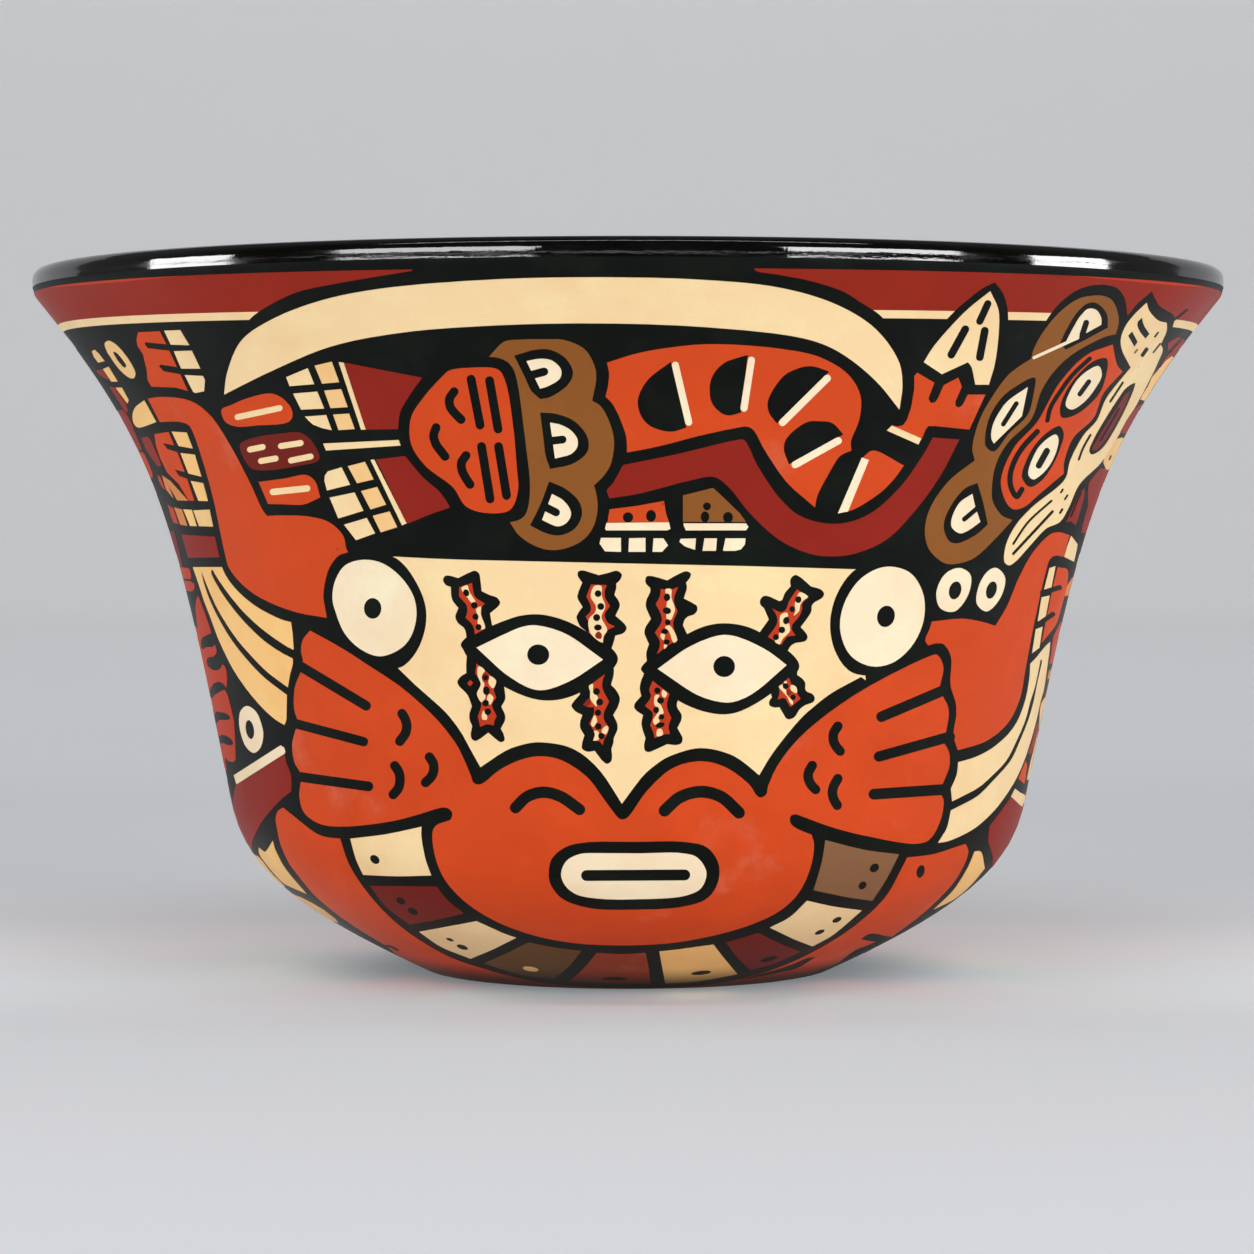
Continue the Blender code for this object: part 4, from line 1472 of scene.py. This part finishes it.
paint(
    "pale",
    left_ring=blob(
        (239, 718.6), (241, 710), (246.6, 705.7), (255.5, 711), (261.4, 724.2), (263.2, 735.4), (260, 748),
        (253.7, 752.7), (246, 746.5), (240.3, 731.2),
    ),
    left_bar=panel(
        (233.7, 775), (280.3, 745.2), (284, 747.3), (285.2, 751.5), (284.5, 753.4), (236.4, 784.2),
    ),
)
paint("black", left_ring_hole=dot(249.8, 729.3, 4.2, 9.6, -9))

# Slivers at the left edge
# The next figure's red fingers, with their black lines, come round at the left.
paint_to_sash(
    "rust", -1, [(187, 567.5), (189.8, 569), (191.3, 577), (190, 579)],
    [(190.5, 581), (194, 583.5), (194.5, 588), (192, 591.2)],
    [(197.4, 627), (196.5, 619.3), (195.3, 609), (195.9, 600.9), (197.9, 594.8), (199.9, 599.8),
     (204.5, 612.4), (209.7, 627.3), (211.2, 632.8), (206.8, 635), (202.4, 637), (200.9, 641), (201.2, 647),
     (203, 649.4), (206.2, 646.8), (212.5, 646.8), (215, 644.5), (216.6, 650.3), (216, 653.7),
     (213.1, 656.6), (209.7, 656.6), (207.4, 658), (206.6, 661.8), (208, 666.4), (212.6, 669.8),
     (217.1, 670.2), (220.6, 668.1), (222.5, 664), (224.6, 666), (226.3, 670.5), (226.9, 679),
     (226.4, 687.5), (222.9, 683), (218.3, 681.3), (213.7, 683), (210.3, 688.2), (209.7, 695), (212, 698.5),
     (214.9, 694.5), (220.6, 691), (224.6, 689.6), (227.5, 695), (230.9, 707.7), (233.8, 720.3),
     (234.8, 735), (235.6, 759), (233, 762), (228.5, 761), (225.3, 757), (225.2, 762), (227, 770)],
)
paint("black", finger_arcs=[
    blob(
        (214.5, 715), (216.5, 711.2), (219.5, 712), (224, 712.5), (229, 715.3), (229.8, 718.6),
        (225, 719.9), (219, 719.9), (216.4, 723.4), (215, 721),
    ),
    blob(
        (217, 745), (217.6, 740), (219.5, 735.8), (222.5, 734.6), (228, 736.5), (232, 740), (233, 744),
        (230, 745), (226, 744.4), (223, 742.8), (220, 744.4), (218.4, 747.4),
    ),
])

# Sash down each side
# The wall's two narrow sides carry a sash from the red band to the foot: a black strip with a row of
# panels in the collar's slips, each with one dot, which hides where one figure ends and the next begins.
PANEL_HALF = math.radians(6.2)
SASH_TOP = 0.0872
SASH_FOOT = 0.0075
SASH_PANELS = ("cream", "orange", "maroon", "cream", "brown", "orange", "cream", "maroon")
PANEL_GAP = 0.0016
PANEL_SLANT = math.radians(0.6)
SASH_DOT = 0.0016

panel_rise = (SASH_TOP - SASH_FOOT) / len(SASH_PANELS)
for side in (-1, 1):
    def sash(slip, *places):
        angles, heights = np.array(places).T
        painting.append((slip, by_height(side * angles, heights)))

    sash("black", *[(SIDE - SASH_HALF, z) for z in np.linspace(0, SASH_TOP, 30)], (SIDE, SASH_TOP), (SIDE, 0))
    for i, slip in enumerate(SASH_PANELS):
        low = SASH_FOOT + panel_rise * i + PANEL_GAP / 2
        high = low + panel_rise - PANEL_GAP
        inner = [(SIDE - PANEL_HALF - PANEL_SLANT * k / 4, low + (high - low) * k / 4) for k in range(5)]
        sash(slip, *inner, (SIDE, high), (SIDE, low))
        turn = np.linspace(-SIDE, SIDE, 9)
        across = np.cos(turn) * SASH_DOT / BELLY_RADIUS
        sash(
            "cream" if slip == "brown" else "black",
            *[(SIDE - a, (low + high) / 2 + z) for a, z in zip(across, np.sin(turn) * SASH_DOT)],
        )

# Slip coats
# Each slip is coloured clay thinned to cream and brushed on the leather-hard wall, then rubbed with a pebble.
# The black ground is thinnest; the colours stand a hair above it and meet it with a small brushed edge.
SLIPS = {
    "black": ("black_slip", (11, 15, 12), 0.00012),
    "orange": ("orange_slip", (210, 75, 32), 0.00016),
    "cream": ("cream_slip", (250, 219, 168), 0.00017),
    "pale": ("cream_slip", (251, 232, 198), 0.00017),
    "ochre": ("cream_slip", (247, 203, 140), 0.00017),
    "amber": ("cream_slip", (255, 205, 133), 0.00017),
    "honey": ("cream_slip", (218, 138, 76), 0.00017),
    "red": ("maroon_slip", (148, 41, 26), 0.00016),
    "rust": ("orange_slip", (190, 60, 32), 0.00016),
    "sienna": ("orange_slip", (152, 60, 32), 0.00016),
    "maroon": ("maroon_slip", (143, 38, 28), 0.00016),
    "wine": ("maroon_slip", (114, 33, 25), 0.00016),
    "brown": ("brown_slip", (142, 88, 41), 0.00016),
    "umber": ("brown_slip", (104, 70, 34), 0.00016),
    # The next slip is the brown greyed as painted sheen, for one collar panel
    "brown_sheen": ("brown_slip", (136, 97, 67), 0.00016),
}
SLIP_BASE = 0.00002
FILL_STEP = 2.6
FILL_CLEAR = 0.5
FOOT_CLEAR = 0.5
LIP_ROWS = 5
FLAT_RADIUS = 62.0
MILLIMETRE = 1000
SEAM_STEPS = 44
MERGE = 0.002
NO_AREA = 1e-7

# The painted half turn is spread flat, in millimetres, and cut along every outline
half_width = SIDE * FLAT_RADIUS
full_height = painted_height * MILLIMETRE


def spread_flat(places):
    return np.asarray(places) * (FLAT_RADIUS, MILLIMETRE)


flat_points, flat_edges = [], []


def cut_along(ring):
    first = len(flat_points)
    count = len(ring)
    flat_points.extend(map(tuple, ring))
    flat_edges.extend((first + i, first + (i + 1) % count) for i in range(count))


up_steps = np.linspace(FOOT_CLEAR, full_height, SEAM_STEPS)
across_steps = np.linspace(-half_width, half_width, LEVEL_STEPS)
cut_along(
    [(x, FOOT_CLEAR) for x in across_steps[:-1]] + [(half_width, y) for y in up_steps[:-1]]
    + [(x, full_height) for x in across_steps[:0:-1]] + [(-half_width, y) for y in up_steps[:0:-1]]
)
lip_rows = np.linspace(outside_along[-LIP_STEPS] * MILLIMETRE, full_height, LIP_ROWS)[:-1]
for low, high in zip(lip_rows, lip_rows[1:]):
    cut_along([(x, low) for x in across_steps] + [(x, high) for x in across_steps[::-1]])
flat_painting = [(slip, spread_flat(edge)) for slip, edge in painting]
for _, edge in flat_painting:
    cut_along(edge)

drawn_points = KDTree(len(flat_points))
for i, (x, y) in enumerate(flat_points):
    drawn_points.insert((x, y, 0), i)
drawn_points.balance()
for i, y in enumerate(np.arange(FILL_STEP, full_height - FILL_CLEAR, FILL_STEP)):
    for x in np.arange(-half_width + FILL_STEP * (1 + i % 2) / 2, half_width - FILL_CLEAR, FILL_STEP):
        if drawn_points.find((x, y, 0))[2] > FILL_CLEAR:
            flat_points.append((x, y))

cut = delaunay_2d_cdt([Vector(p) for p in flat_points], flat_edges, [], 0, MERGE)
flat = np.array([tuple(v) for v in cut[0]])
triangles = np.array(cut[2])
corners = flat[triangles]
middles = corners.mean(1)
turning = np.cross(corners[:, 1] - corners[:, 0], corners[:, 2] - corners[:, 0])
triangles[turning < 0] = triangles[turning < 0][:, ::-1]
in_sheet = (np.abs(middles[:, 0]) < half_width) & (middles[:, 1] > FOOT_CLEAR) & (middles[:, 1] < full_height)
kept = in_sheet & (np.abs(turning) > NO_AREA)
triangles, middles = triangles[kept], middles[kept]


def inside(points, ring):
    """Which points lie inside a closed outline, counting its turns round them."""
    x, y = points[:, :1], points[:, 1:]
    x0, y0 = ring.T
    x1, y1 = np.roll(ring, -1, 0).T
    left = (x1 - x0) * (y - y0) - (x - x0) * (y1 - y0)
    turns = ((y0 <= y) & (y1 > y) & (left > 0)).sum(1) - ((y0 > y) & (y1 <= y) & (left < 0)).sum(1)
    return turns != 0


slip_names = list(SLIPS)
painted_with = np.zeros(len(triangles), int)
for slip, edge in flat_painting:
    near = ((middles >= edge.min(0)) & (middles <= edge.max(0))).all(1).nonzero()[0]
    painted_with[near[inside(middles[near], edge)]] = slip_names.index(slip)

# The second figure is the first one turned half round; the two halves share the points of both seams
count = len(flat)
seam_names = {}
back = np.arange(count) + count
for i in (np.abs(np.abs(flat[:, 0]) - half_width) < MERGE * 2).nonzero()[0]:
    seam_names[(flat[i, 0] > 0, round(flat[i, 1], 1))] = i
for (at_right, height), i in seam_names.items():
    back[i] = seam_names.get((not at_right, height), back[i])
round_triangles = np.vstack([triangles, back[triangles]])
round_painted = np.tile(painted_with, 2)
round_flat = np.vstack([flat, flat + (2 * half_width, 0)])

outward = np.column_stack([outside_step[:, 1], -outside_step[:, 0]])


def on_wall(places, proud):
    """Points and directions out of the wall for flat places, raised above the clay."""
    angle, along = places[:, 0] / FLAT_RADIUS, places[:, 1] / MILLIMETRE
    radius, height, out, up = (np.interp(along, outside_along, v) for v in (*outside.T, *outward.T))
    radius, height = radius + out * proud, height + up * proud
    points = np.column_stack([np.sin(angle) * radius, -np.cos(angle) * radius, height])
    return points, np.column_stack([np.sin(angle) * out, -np.cos(angle) * out, up])


def coat(name, slip):
    """The closed, hair-thin layer of one slip."""
    chosen = round_triangles[round_painted == slip_names.index(slip)]
    used, corner = np.unique(chosen, return_inverse=True)
    face = corner.reshape(-1, 3)
    top, out = on_wall(round_flat[used], SLIPS[slip][2])
    base, _ = on_wall(round_flat[used], SLIP_BASE)
    sides = np.vstack([face[:, [0, 1]], face[:, [1, 2]], face[:, [2, 0]]])
    _, first, times = np.unique(np.sort(sides, axis=1), axis=0, return_index=True, return_counts=True)
    rim = sides[first[times == 1]]
    under = len(used)
    walls = np.column_stack([rim[:, 1], rim[:, 0], rim[:, 0] + under, rim[:, 1] + under])
    points = np.vstack([top, base])
    mesh = bpy.data.meshes.new(name)
    mesh.from_pydata(points, [], face.tolist() + (face[:, ::-1] + under).tolist() + walls.tolist())
    mesh.shade_smooth()
    square = np.cross(points[walls[:, 1]] - points[walls[:, 0]], points[walls[:, 3]] - points[walls[:, 0]])
    square /= np.maximum(np.linalg.norm(square, axis=1), 1e-12)[:, None]
    normals = [out[face.ravel()], -out[face[:, ::-1].ravel()], np.repeat(square, 4, 0)]
    mesh.normals_split_custom_set(np.vstack(normals))
    return mesh


# Brushed slip: clouds where the wash lies thick or thin, streaks round the cup, fine grain and stray specks,
# pale patches of painted sheen, and painted shade that darkens the wall towards the foot
SPECK_DARK = (0.03, 0.02, 0.015, 1.0)
SHEEN_PALE = (0.83, 0.56, 0.42, 1.0)
# The painted shade towards the foot: its colour, and the heights where it is strongest and where it ends
FOOT_SHADE = (0.012, 0.009, 0.006, 1.0)
FOOT_SHADE_LOW = 0.0004
FOOT_SHADE_TOP = 0.0038
sheet, taken, given = effect(
    "brushed_slip",
    {
        "Colour": ("Color", (0.5, 0.5, 0.5, 1.0)), "Thin": ("Color", (0.6, 0.6, 0.6, 1.0)),
        "Thick": ("Color", (0.4, 0.4, 0.4, 1.0)), "Cloud": ("Float", 0.5), "Streak": ("Float", 0.3),
        "Speck": ("Float", 0.4), "Bloom": ("Float", 0.0), "Smooth": ("Float", 0.34), "Rough": ("Float", 0.5),
    },
    {"Colour": "Color", "Roughness": "Float", "Height": "Float"},
)
place = sheet.add("TexCoord").outputs["Object"]
level = sheet.add("VectorMath", {"operation": "MULTIPLY"}, in_0=place, in_1=(1.0, 1.0, 12.0)).outputs[0]
clouds = sheet.noise(place, 120.0, 4.0, 0.6)
stains = sheet.noise(place, 85.0, 3.0, 0.55)
streaks = sheet.noise(level, 60.0, 3.0, 0.6)
grain = sheet.noise(place, 2600.0, 2.0, 0.6)
rubbed = sheet.noise(place, 30.0, 2.0)
voronoi = sheet.add("TexVoronoi", Vector=place, Scale=190.0)
lone = sheet.spread(sheet.add("SeparateColor", Color=voronoi.outputs["Color"]).outputs[0], 0.72, 0.76)
specks = sheet.math("MULTIPLY", sheet.spread(voronoi.outputs["Distance"], 0.05, 0.02), lone)
thin = sheet.math("MULTIPLY", sheet.spread(clouds, 0.42, 0.72), taken["Cloud"])
stained = sheet.math("MULTIPLY", sheet.spread(stains, 0.48, 0.72), taken["Cloud"])
pulled = sheet.math("MULTIPLY", sheet.spread(streaks, 0.5, 0.75), taken["Streak"])
thick = sheet.math("MAXIMUM", pulled, stained)
washed = sheet.mix(thin, taken["Colour"], taken["Thin"])
brushed = sheet.mix(thick, washed, taken["Thick"])
grained = sheet.mix(sheet.spread(grain, 0.35, 0.65, 0.0, 0.12), brushed, taken["Thick"])
specked = sheet.mix(sheet.math("MULTIPLY", specks, taken["Speck"]), grained, SPECK_DARK)
# Painted sheen: pale patches at random, mixed into the orange slips' colour
sheen_noise = sheet.noise(place, 48.0, 5.0, 0.65)
sheen_patches = sheet.math("MULTIPLY", sheet.spread(sheen_noise, 0.56, 0.74), taken["Bloom"])
sheened = sheet.mix(sheen_patches, specked, SHEEN_PALE)
rise = sheet.add("SeparateXYZ", Vector=place).outputs["Z"]
# Painted shade: the colour darkens to near black over the lowest four millimetres of the wall, towards the
# foot
foot_shaded = sheet.mix(sheet.spread(rise, FOOT_SHADE_LOW, FOOT_SHADE_TOP, 0.92, 0.0), sheened, FOOT_SHADE)
polish = sheet.add("MapRange", in_0=rubbed, in_1=0.35, in_2=0.65, in_3=taken["Smooth"], in_4=taken["Rough"])
sheet.join(foot_shaded, given, "Colour")
sheet.join(polish.outputs[0], given, "Roughness")
ridges = sheet.math("MULTIPLY", streaks, 0.7)
sheet.join(sheet.math("ADD", ridges, sheet.math("MULTIPLY", grain, 0.3)), given, "Height")

SLIP_BUMP = 0.00008
SLIP_SHINE = 0.08
THIN_LIFT = 1.08
GROUND_LIFT = 2.2
STREAK = 0.12
# How much painted sheen the orange slips carry
SHEEN_SHARE = 0.14
THICK_DROP = np.array((0.97, 0.93, 0.87))


def tinted(colour, factor):
    return shown(np.clip(np.array(colour) * factor, 0, 255))


for slip, (slot, colour, _) in SLIPS.items():
    finish = group_finish(
        slip + "_slip", "brushed_slip", 0.42, SLIP_SHINE, 0.25, SLIP_BUMP,
        Colour=shown(colour), Thin=tinted(colour, GROUND_LIFT if slip == "black" else THIN_LIFT),
        Thick=tinted(colour, THICK_DROP), Streak=STREAK, Bloom=SHEEN_SHARE if slot == "orange_slip" else 0.0,
    )
    layer = bpy.data.objects.new(slip + "_slip_coat", coat(slip + "_slip_coat", slip))
    layer.data.materials.append(finish)
    scene.collection.objects.link(layer)
    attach(layer, "root")

# Inside slip
# The inside is washed with one coat of plain red-brown slip, wiped round with a cloth while the cup turned.
WALL_THICKNESS = 0.005
FLOOR_THICKNESS = 0.0065
FLOOR_REACH = 0.030
INNER_BELLY_REACH = 0.014
INSIDE_RED = (120, 52, 36)
INSIDE_THIN = 1.25
INSIDE_THICK = 0.75
INSIDE_PROUD = 0.0002
TURN_STEPS = 192
CREASE = math.radians(50)

floor_middle = np.array((0.0, FLOOR_THICKNESS))
inner_belly = belly - facing_out(WALL_LEAN) * WALL_THICKNESS
inner_lip = lip_middle - facing_out(FLARE_LEAN) * LIP_RADIUS
inner_turn = inner_belly - wall * INNER_BELLY_REACH
inside_line = np.vstack([
    curve(floor_middle, floor_middle + (FLOOR_REACH, 0), inner_turn, inner_belly)[::4],
    curve(inner_belly, inner_belly + wall * WAIST_REACH, inner_lip - flare * FLARE_REACH, inner_lip)[4::4],
])


def turned_coat(name, line, proud, base):
    """A closed layer turned round the axis, over (radius, height) points with the clay on their right."""
    step = np.gradient(line, axis=0)
    step /= np.linalg.norm(step, axis=1)[:, None]
    out = np.column_stack([-step[:, 1], step[:, 0]])
    out[line[:, 0] < 1e-6] = (0, 1)
    loop = np.vstack([line + out * np.reshape(proud, (-1, 1)), (line + out * base)[::-1]])
    made = bmesh.new()
    corners = [made.verts.new((max(r, 0.0), 0.0, z)) for r, z in loop]
    rims = [made.edges.new((corners[i], corners[(i + 1) % len(corners)])) for i in range(len(corners))]
    bmesh.ops.spin(
        made, geom=corners + rims, cent=(0, 0, 0), axis=(0, 0, 1), angle=2 * math.pi, steps=TURN_STEPS,
        use_merge=True,
    )
    bmesh.ops.remove_doubles(made, verts=made.verts, dist=1e-6)
    bmesh.ops.dissolve_degenerate(made, edges=made.edges, dist=1e-7)
    bmesh.ops.recalc_face_normals(made, faces=made.faces)
    mesh = bpy.data.meshes.new(name)
    made.to_mesh(mesh)
    made.free()
    mesh.shade_smooth()
    mesh.set_sharp_from_angle(angle=CREASE)
    layer = bpy.data.objects.new(name, mesh)
    scene.collection.objects.link(layer)
    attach(layer, "root")
    return layer


inside_coat = turned_coat("inside_slip_coat", inside_line, INSIDE_PROUD, SLIP_BASE)
inside_coat.data.materials.append(group_finish(
    "inside_slip", "brushed_slip", 0.5, 0.5, 0.4, SLIP_BUMP,
    Colour=shown(INSIDE_RED), Thin=tinted(INSIDE_RED, INSIDE_THIN), Thick=tinted(INSIDE_RED, INSIDE_THICK),
    Cloud=0.7, Streak=0.6, Smooth=0.42, Rough=0.62,
))

# Glossy lip
# The lip is black slip laid on thick and burnished hard with a pebble, round and round, so that it shines.
GLOSS_START = math.radians(36)
GLOSS_STEPS = 37
GLOSS_INSIDE = 0.007
GLOSS_PROUD = 0.00024
GLOSS_BASE = 0.00018
LIP_FULLNESS = 0.00045
LIP_BLACK = (8, 7, 6)
LIP_PULLED = 1.9
LIP_GLASSINESS = 2.0
inside_back = inside_line[::-1]
inside_way = np.concatenate([[0], np.cumsum(np.linalg.norm(np.diff(inside_back, axis=0), axis=1))])
lip_turns = np.linspace(GLOSS_START, math.pi, GLOSS_STEPS)
lip_line = np.vstack([lip_round(lip_turns), inside_back[1:][inside_way[1:] < GLOSS_INSIDE]])[::-1]
lip_rise = np.clip(lip_turns - FLARE_LEAN, 0, math.pi / 2)
lip_proud = np.full(len(lip_line), GLOSS_PROUD)
lip_proud[-len(lip_turns):] += LIP_FULLNESS * np.sin(2 * lip_rise[::-1]) ** 2
gloss = turned_coat("lip_gloss_coat", lip_line, lip_proud, GLOSS_BASE)
finish, sheet, shader = finish_named("lip_gloss", 0.06)
shader.inputs["IOR"].default_value = LIP_GLASSINESS
place = sheet.add("TexCoord").outputs["Object"]
level = sheet.add("VectorMath", {"operation": "MULTIPLY"}, in_0=place, in_1=(1.0, 1.0, 9.0)).outputs[0]
pulls = sheet.noise(level, 110.0, 4.0, 0.6)
pulled = sheet.mix(sheet.spread(pulls, 0.4, 0.7), shown(LIP_BLACK), tinted(LIP_BLACK, LIP_PULLED))
sheet.join(pulled, shader, "Base Color")
sheet.join(sheet.spread(pulls, 0.35, 0.7, 0.03, 0.12), shader, "Roughness")
pits = sheet.math("MULTIPLY", sheet.noise(place, 1500.0, 2.0, 0.6), 0.35)
bump = sheet.add("Bump", Strength=0.2, Distance=SLIP_BUMP, Height=sheet.math("ADD", pulls, pits))
sheet.join(bump.outputs[0], shader, "Normal")
gloss.data.materials.append(finish)

# Floor, backdrop and studio light
# A pale grey paper sweep, soft boxes to both sides and over the front, and a room that is dark in front.
SWEEP_HALF = 3.0
SWEEP_FRONT = -3.0
SWEEP_BACK = 1.8
SWEEP_ROUND = 0.5
SWEEP_STEPS = 16
SWEEP_HEIGHT = 1.8
FLOOR_GREY = (231, 233, 237)
NEAR_GREY = (222, 239, 247)
BACKDROP_GREY = (240, 241, 243)
# How far behind the cup, and the paper's own glow there
PAPER_GLOW = [
    (-0.10, 0.09), (0.05, 0.10), (0.13, 0.05), (0.33, 0.08), (0.48, 0.14), (0.81, 0.22), (1.26, 0.29),
    (1.90, 0.345), (2.15, 0.30), (2.28, 0.265),
]
SHADOW_GLOW = 0.13
FAR_GLOW = 0.7
# Where these begin and end: the cool tint before the foot, the glow in the shadow and the plain far paper
TINT_ROUND = (0.03, 0.17)
TINT_BEHIND = (-0.02, 0.02)
SHADOW_FRONT = (-0.07, -0.02)
SHADOW_BEHIND = (0.01, 0.08)
SHADOW_ROUND = (0.027, 0.045)
FAR_ASIDE = (0.45, 0.8)
FAR_FRONT = (-0.55, -0.25)
FIBRE_SHARE = 0.04
BLACK = (0.0, 0.0, 0.0, 1.0)
WHITE = (1.0, 1.0, 1.0, 1.0)
bend = [math.pi / 2 * i / SWEEP_STEPS for i in range(SWEEP_STEPS + 1)]
sweep_line = [(SWEEP_FRONT, 0.0)]
sweep_line += [(SWEEP_BACK + SWEEP_ROUND * math.sin(a), SWEEP_ROUND * (1 - math.cos(a))) for a in bend]
sweep_line += [(SWEEP_BACK + SWEEP_ROUND, SWEEP_HEIGHT)]
sweep_mesh = bpy.data.meshes.new("sweep")
sweep_mesh.from_pydata(
    [(x, y, z) for y, z in sweep_line for x in (-SWEEP_HALF, SWEEP_HALF)], [],
    [(2 * i, 2 * i + 1, 2 * i + 3, 2 * i + 2) for i in range(len(sweep_line) - 1)],
)
sweep_mesh.shade_smooth()
sweep = bpy.data.objects.new("sweep", sweep_mesh)
scene.collection.objects.link(sweep)
finish, sheet, shader = finish_named("sweep_paper", 0.9, 0.2)
place = sheet.add("TexCoord").outputs["Object"]
fibres = sheet.noise(place, 900.0, 3.0)
aside, behind, _ = sheet.add("SeparateXYZ", Vector=place).outputs
glow_start, glow_end = PAPER_GLOW[0][0], PAPER_GLOW[-1][0]
part_way = sheet.math("DIVIDE", sheet.math("SUBTRACT", behind, glow_start), glow_end - glow_start)
levels = sheet.add("ValToRGB", Fac=part_way)
while len(levels.color_ramp.elements) < len(PAPER_GLOW):
    levels.color_ramp.elements.new(1.0)
for stop, (reach, strength) in zip(levels.color_ramp.elements, PAPER_GLOW):
    stop.position = (reach - glow_start) / (glow_end - glow_start)
    stop.color = (strength, strength, strength, 1.0)
paper = sheet.mix(sheet.spread(behind, -0.1, SWEEP_BACK), shown(FLOOR_GREY), shown(BACKDROP_GREY))
away = sheet.add("VectorMath", {"operation": "LENGTH"}, in_0=place).outputs["Value"]
light_path = sheet.add("LightPath").outputs
lift = sheet.spread(behind, *SHADOW_FRONT, 0.0, SHADOW_GLOW)
lift = sheet.math("MULTIPLY", lift, sheet.spread(behind, *SHADOW_BEHIND, 1.0, 0.0))
lift = sheet.math("MULTIPLY", lift, sheet.spread(away, *SHADOW_ROUND))
glow = sheet.math("ADD", levels.outputs["Color"], lift)
near = sheet.spread(away, *TINT_ROUND, 1.0, 0.0)
near = sheet.math("MULTIPLY", near, sheet.spread(behind, *TINT_BEHIND, 1.0, 0.0))
near = sheet.math("MULTIPLY", near, light_path["Is Camera Ray"])
paper = sheet.mix(near, paper, shown(NEAR_GREY))
far = sheet.spread(sheet.math("ABSOLUTE", aside), *FAR_ASIDE)
far = sheet.math("MAXIMUM", far, sheet.spread(behind, *FAR_FRONT, 1.0, 0.0))
far = sheet.math("MULTIPLY", far, light_path["Is Camera Ray"])
paper = sheet.mix(far, paper, BLACK)
glow = sheet.spread(far, 0.0, 1.0, glow, FAR_GLOW)
fibred = sheet.mix(FIBRE_SHARE, paper, sheet.mix(fibres, BLACK, WHITE), "OVERLAY")
sheet.join(fibred, shader, "Base Color")
seen = sheet.math("ADD", light_path["Is Camera Ray"], light_path["Is Glossy Ray"])
seen = sheet.math("ADD", seen, light_path["Is Transmission Ray"])
sheet.join(sheet.math("MULTIPLY", glow, seen), shader, "Emission Strength")
shader.inputs["Emission Color"].default_value = shown(BACKDROP_GREY)
sweep_mesh.materials.append(finish)

CUP_MIDDLE = Vector((0.0, 0.0, CUP_HEIGHT / 2))
# Name: direction round from the front and up, in degrees, distance, width and height, watts, seen in gloss
SOFT_BOXES = {
    "left_key": (-35, 11, 1.3, 0.86, 0.36, 4.6, True),
    "right_key": (45, 11, 1.3, 0.78, 0.36, 5.8, True),
    "left_box": (-87, 7, 1.3, 0.48, 0.26, 3.0, True),
    "right_box": (88, 7, 1.3, 0.46, 0.26, 3.2, True),
    "top_box": (0, 66, 1.3, 1.7, 0.08, 1.2, True),
    "floor_fill": (0, 74, 1.3, 1.4, 0.6, 3.6, False),
    "front_fill": (0, 1, 2.6, 4.2, 0.16, 20.0, False),
}
for name, (around, up, distance, width, height, watts, in_gloss) in SOFT_BOXES.items():
    lamp = bpy.data.lights.new(name, "AREA")
    lamp.shape = "RECTANGLE"
    lamp.size = width
    lamp.size_y = height
    lamp.energy = watts
    soft_box = bpy.data.objects.new(name, lamp)
    around, up = math.radians(around), math.radians(up)
    away = Vector((math.sin(around) * math.cos(up), -math.cos(around) * math.cos(up), math.sin(up)))
    soft_box.location = CUP_MIDDLE + away * distance
    soft_box.rotation_euler = (-away).to_track_quat("-Z", "Y").to_euler()
    soft_box.visible_glossy = in_gloss
    soft_box.visible_camera = False
    scene.collection.objects.link(soft_box)

ROOM_LIGHT = 0.6
ROOM_FRONT = 0.08
ROOM_IN_GLOSS = 0.15
ROOM_TURN = (-0.3, 0.5)
ROOM_COLOUR = (0.94, 0.96, 1.0, 1.0)
room = bpy.data.worlds.new("room")
room.use_nodes = True
sheet = NodeSheet(room.node_tree)
sky = room.node_tree.nodes["Background"]
sky.inputs["Color"].default_value = ROOM_COLOUR
toward = sheet.add("SeparateXYZ", Vector=sheet.add("TexCoord").outputs["Generated"]).outputs["Y"]
flagged = sheet.spread(sheet.add("LightPath").outputs["Is Glossy Ray"], 0.0, 1.0, 1.0, ROOM_IN_GLOSS)
level = sheet.spread(toward, *ROOM_TURN, ROOM_FRONT, ROOM_LIGHT)
sheet.join(sheet.math("MULTIPLY", level, flagged), sky, "Strength")
scene.world = room
scene.view_settings.view_transform = "Standard"
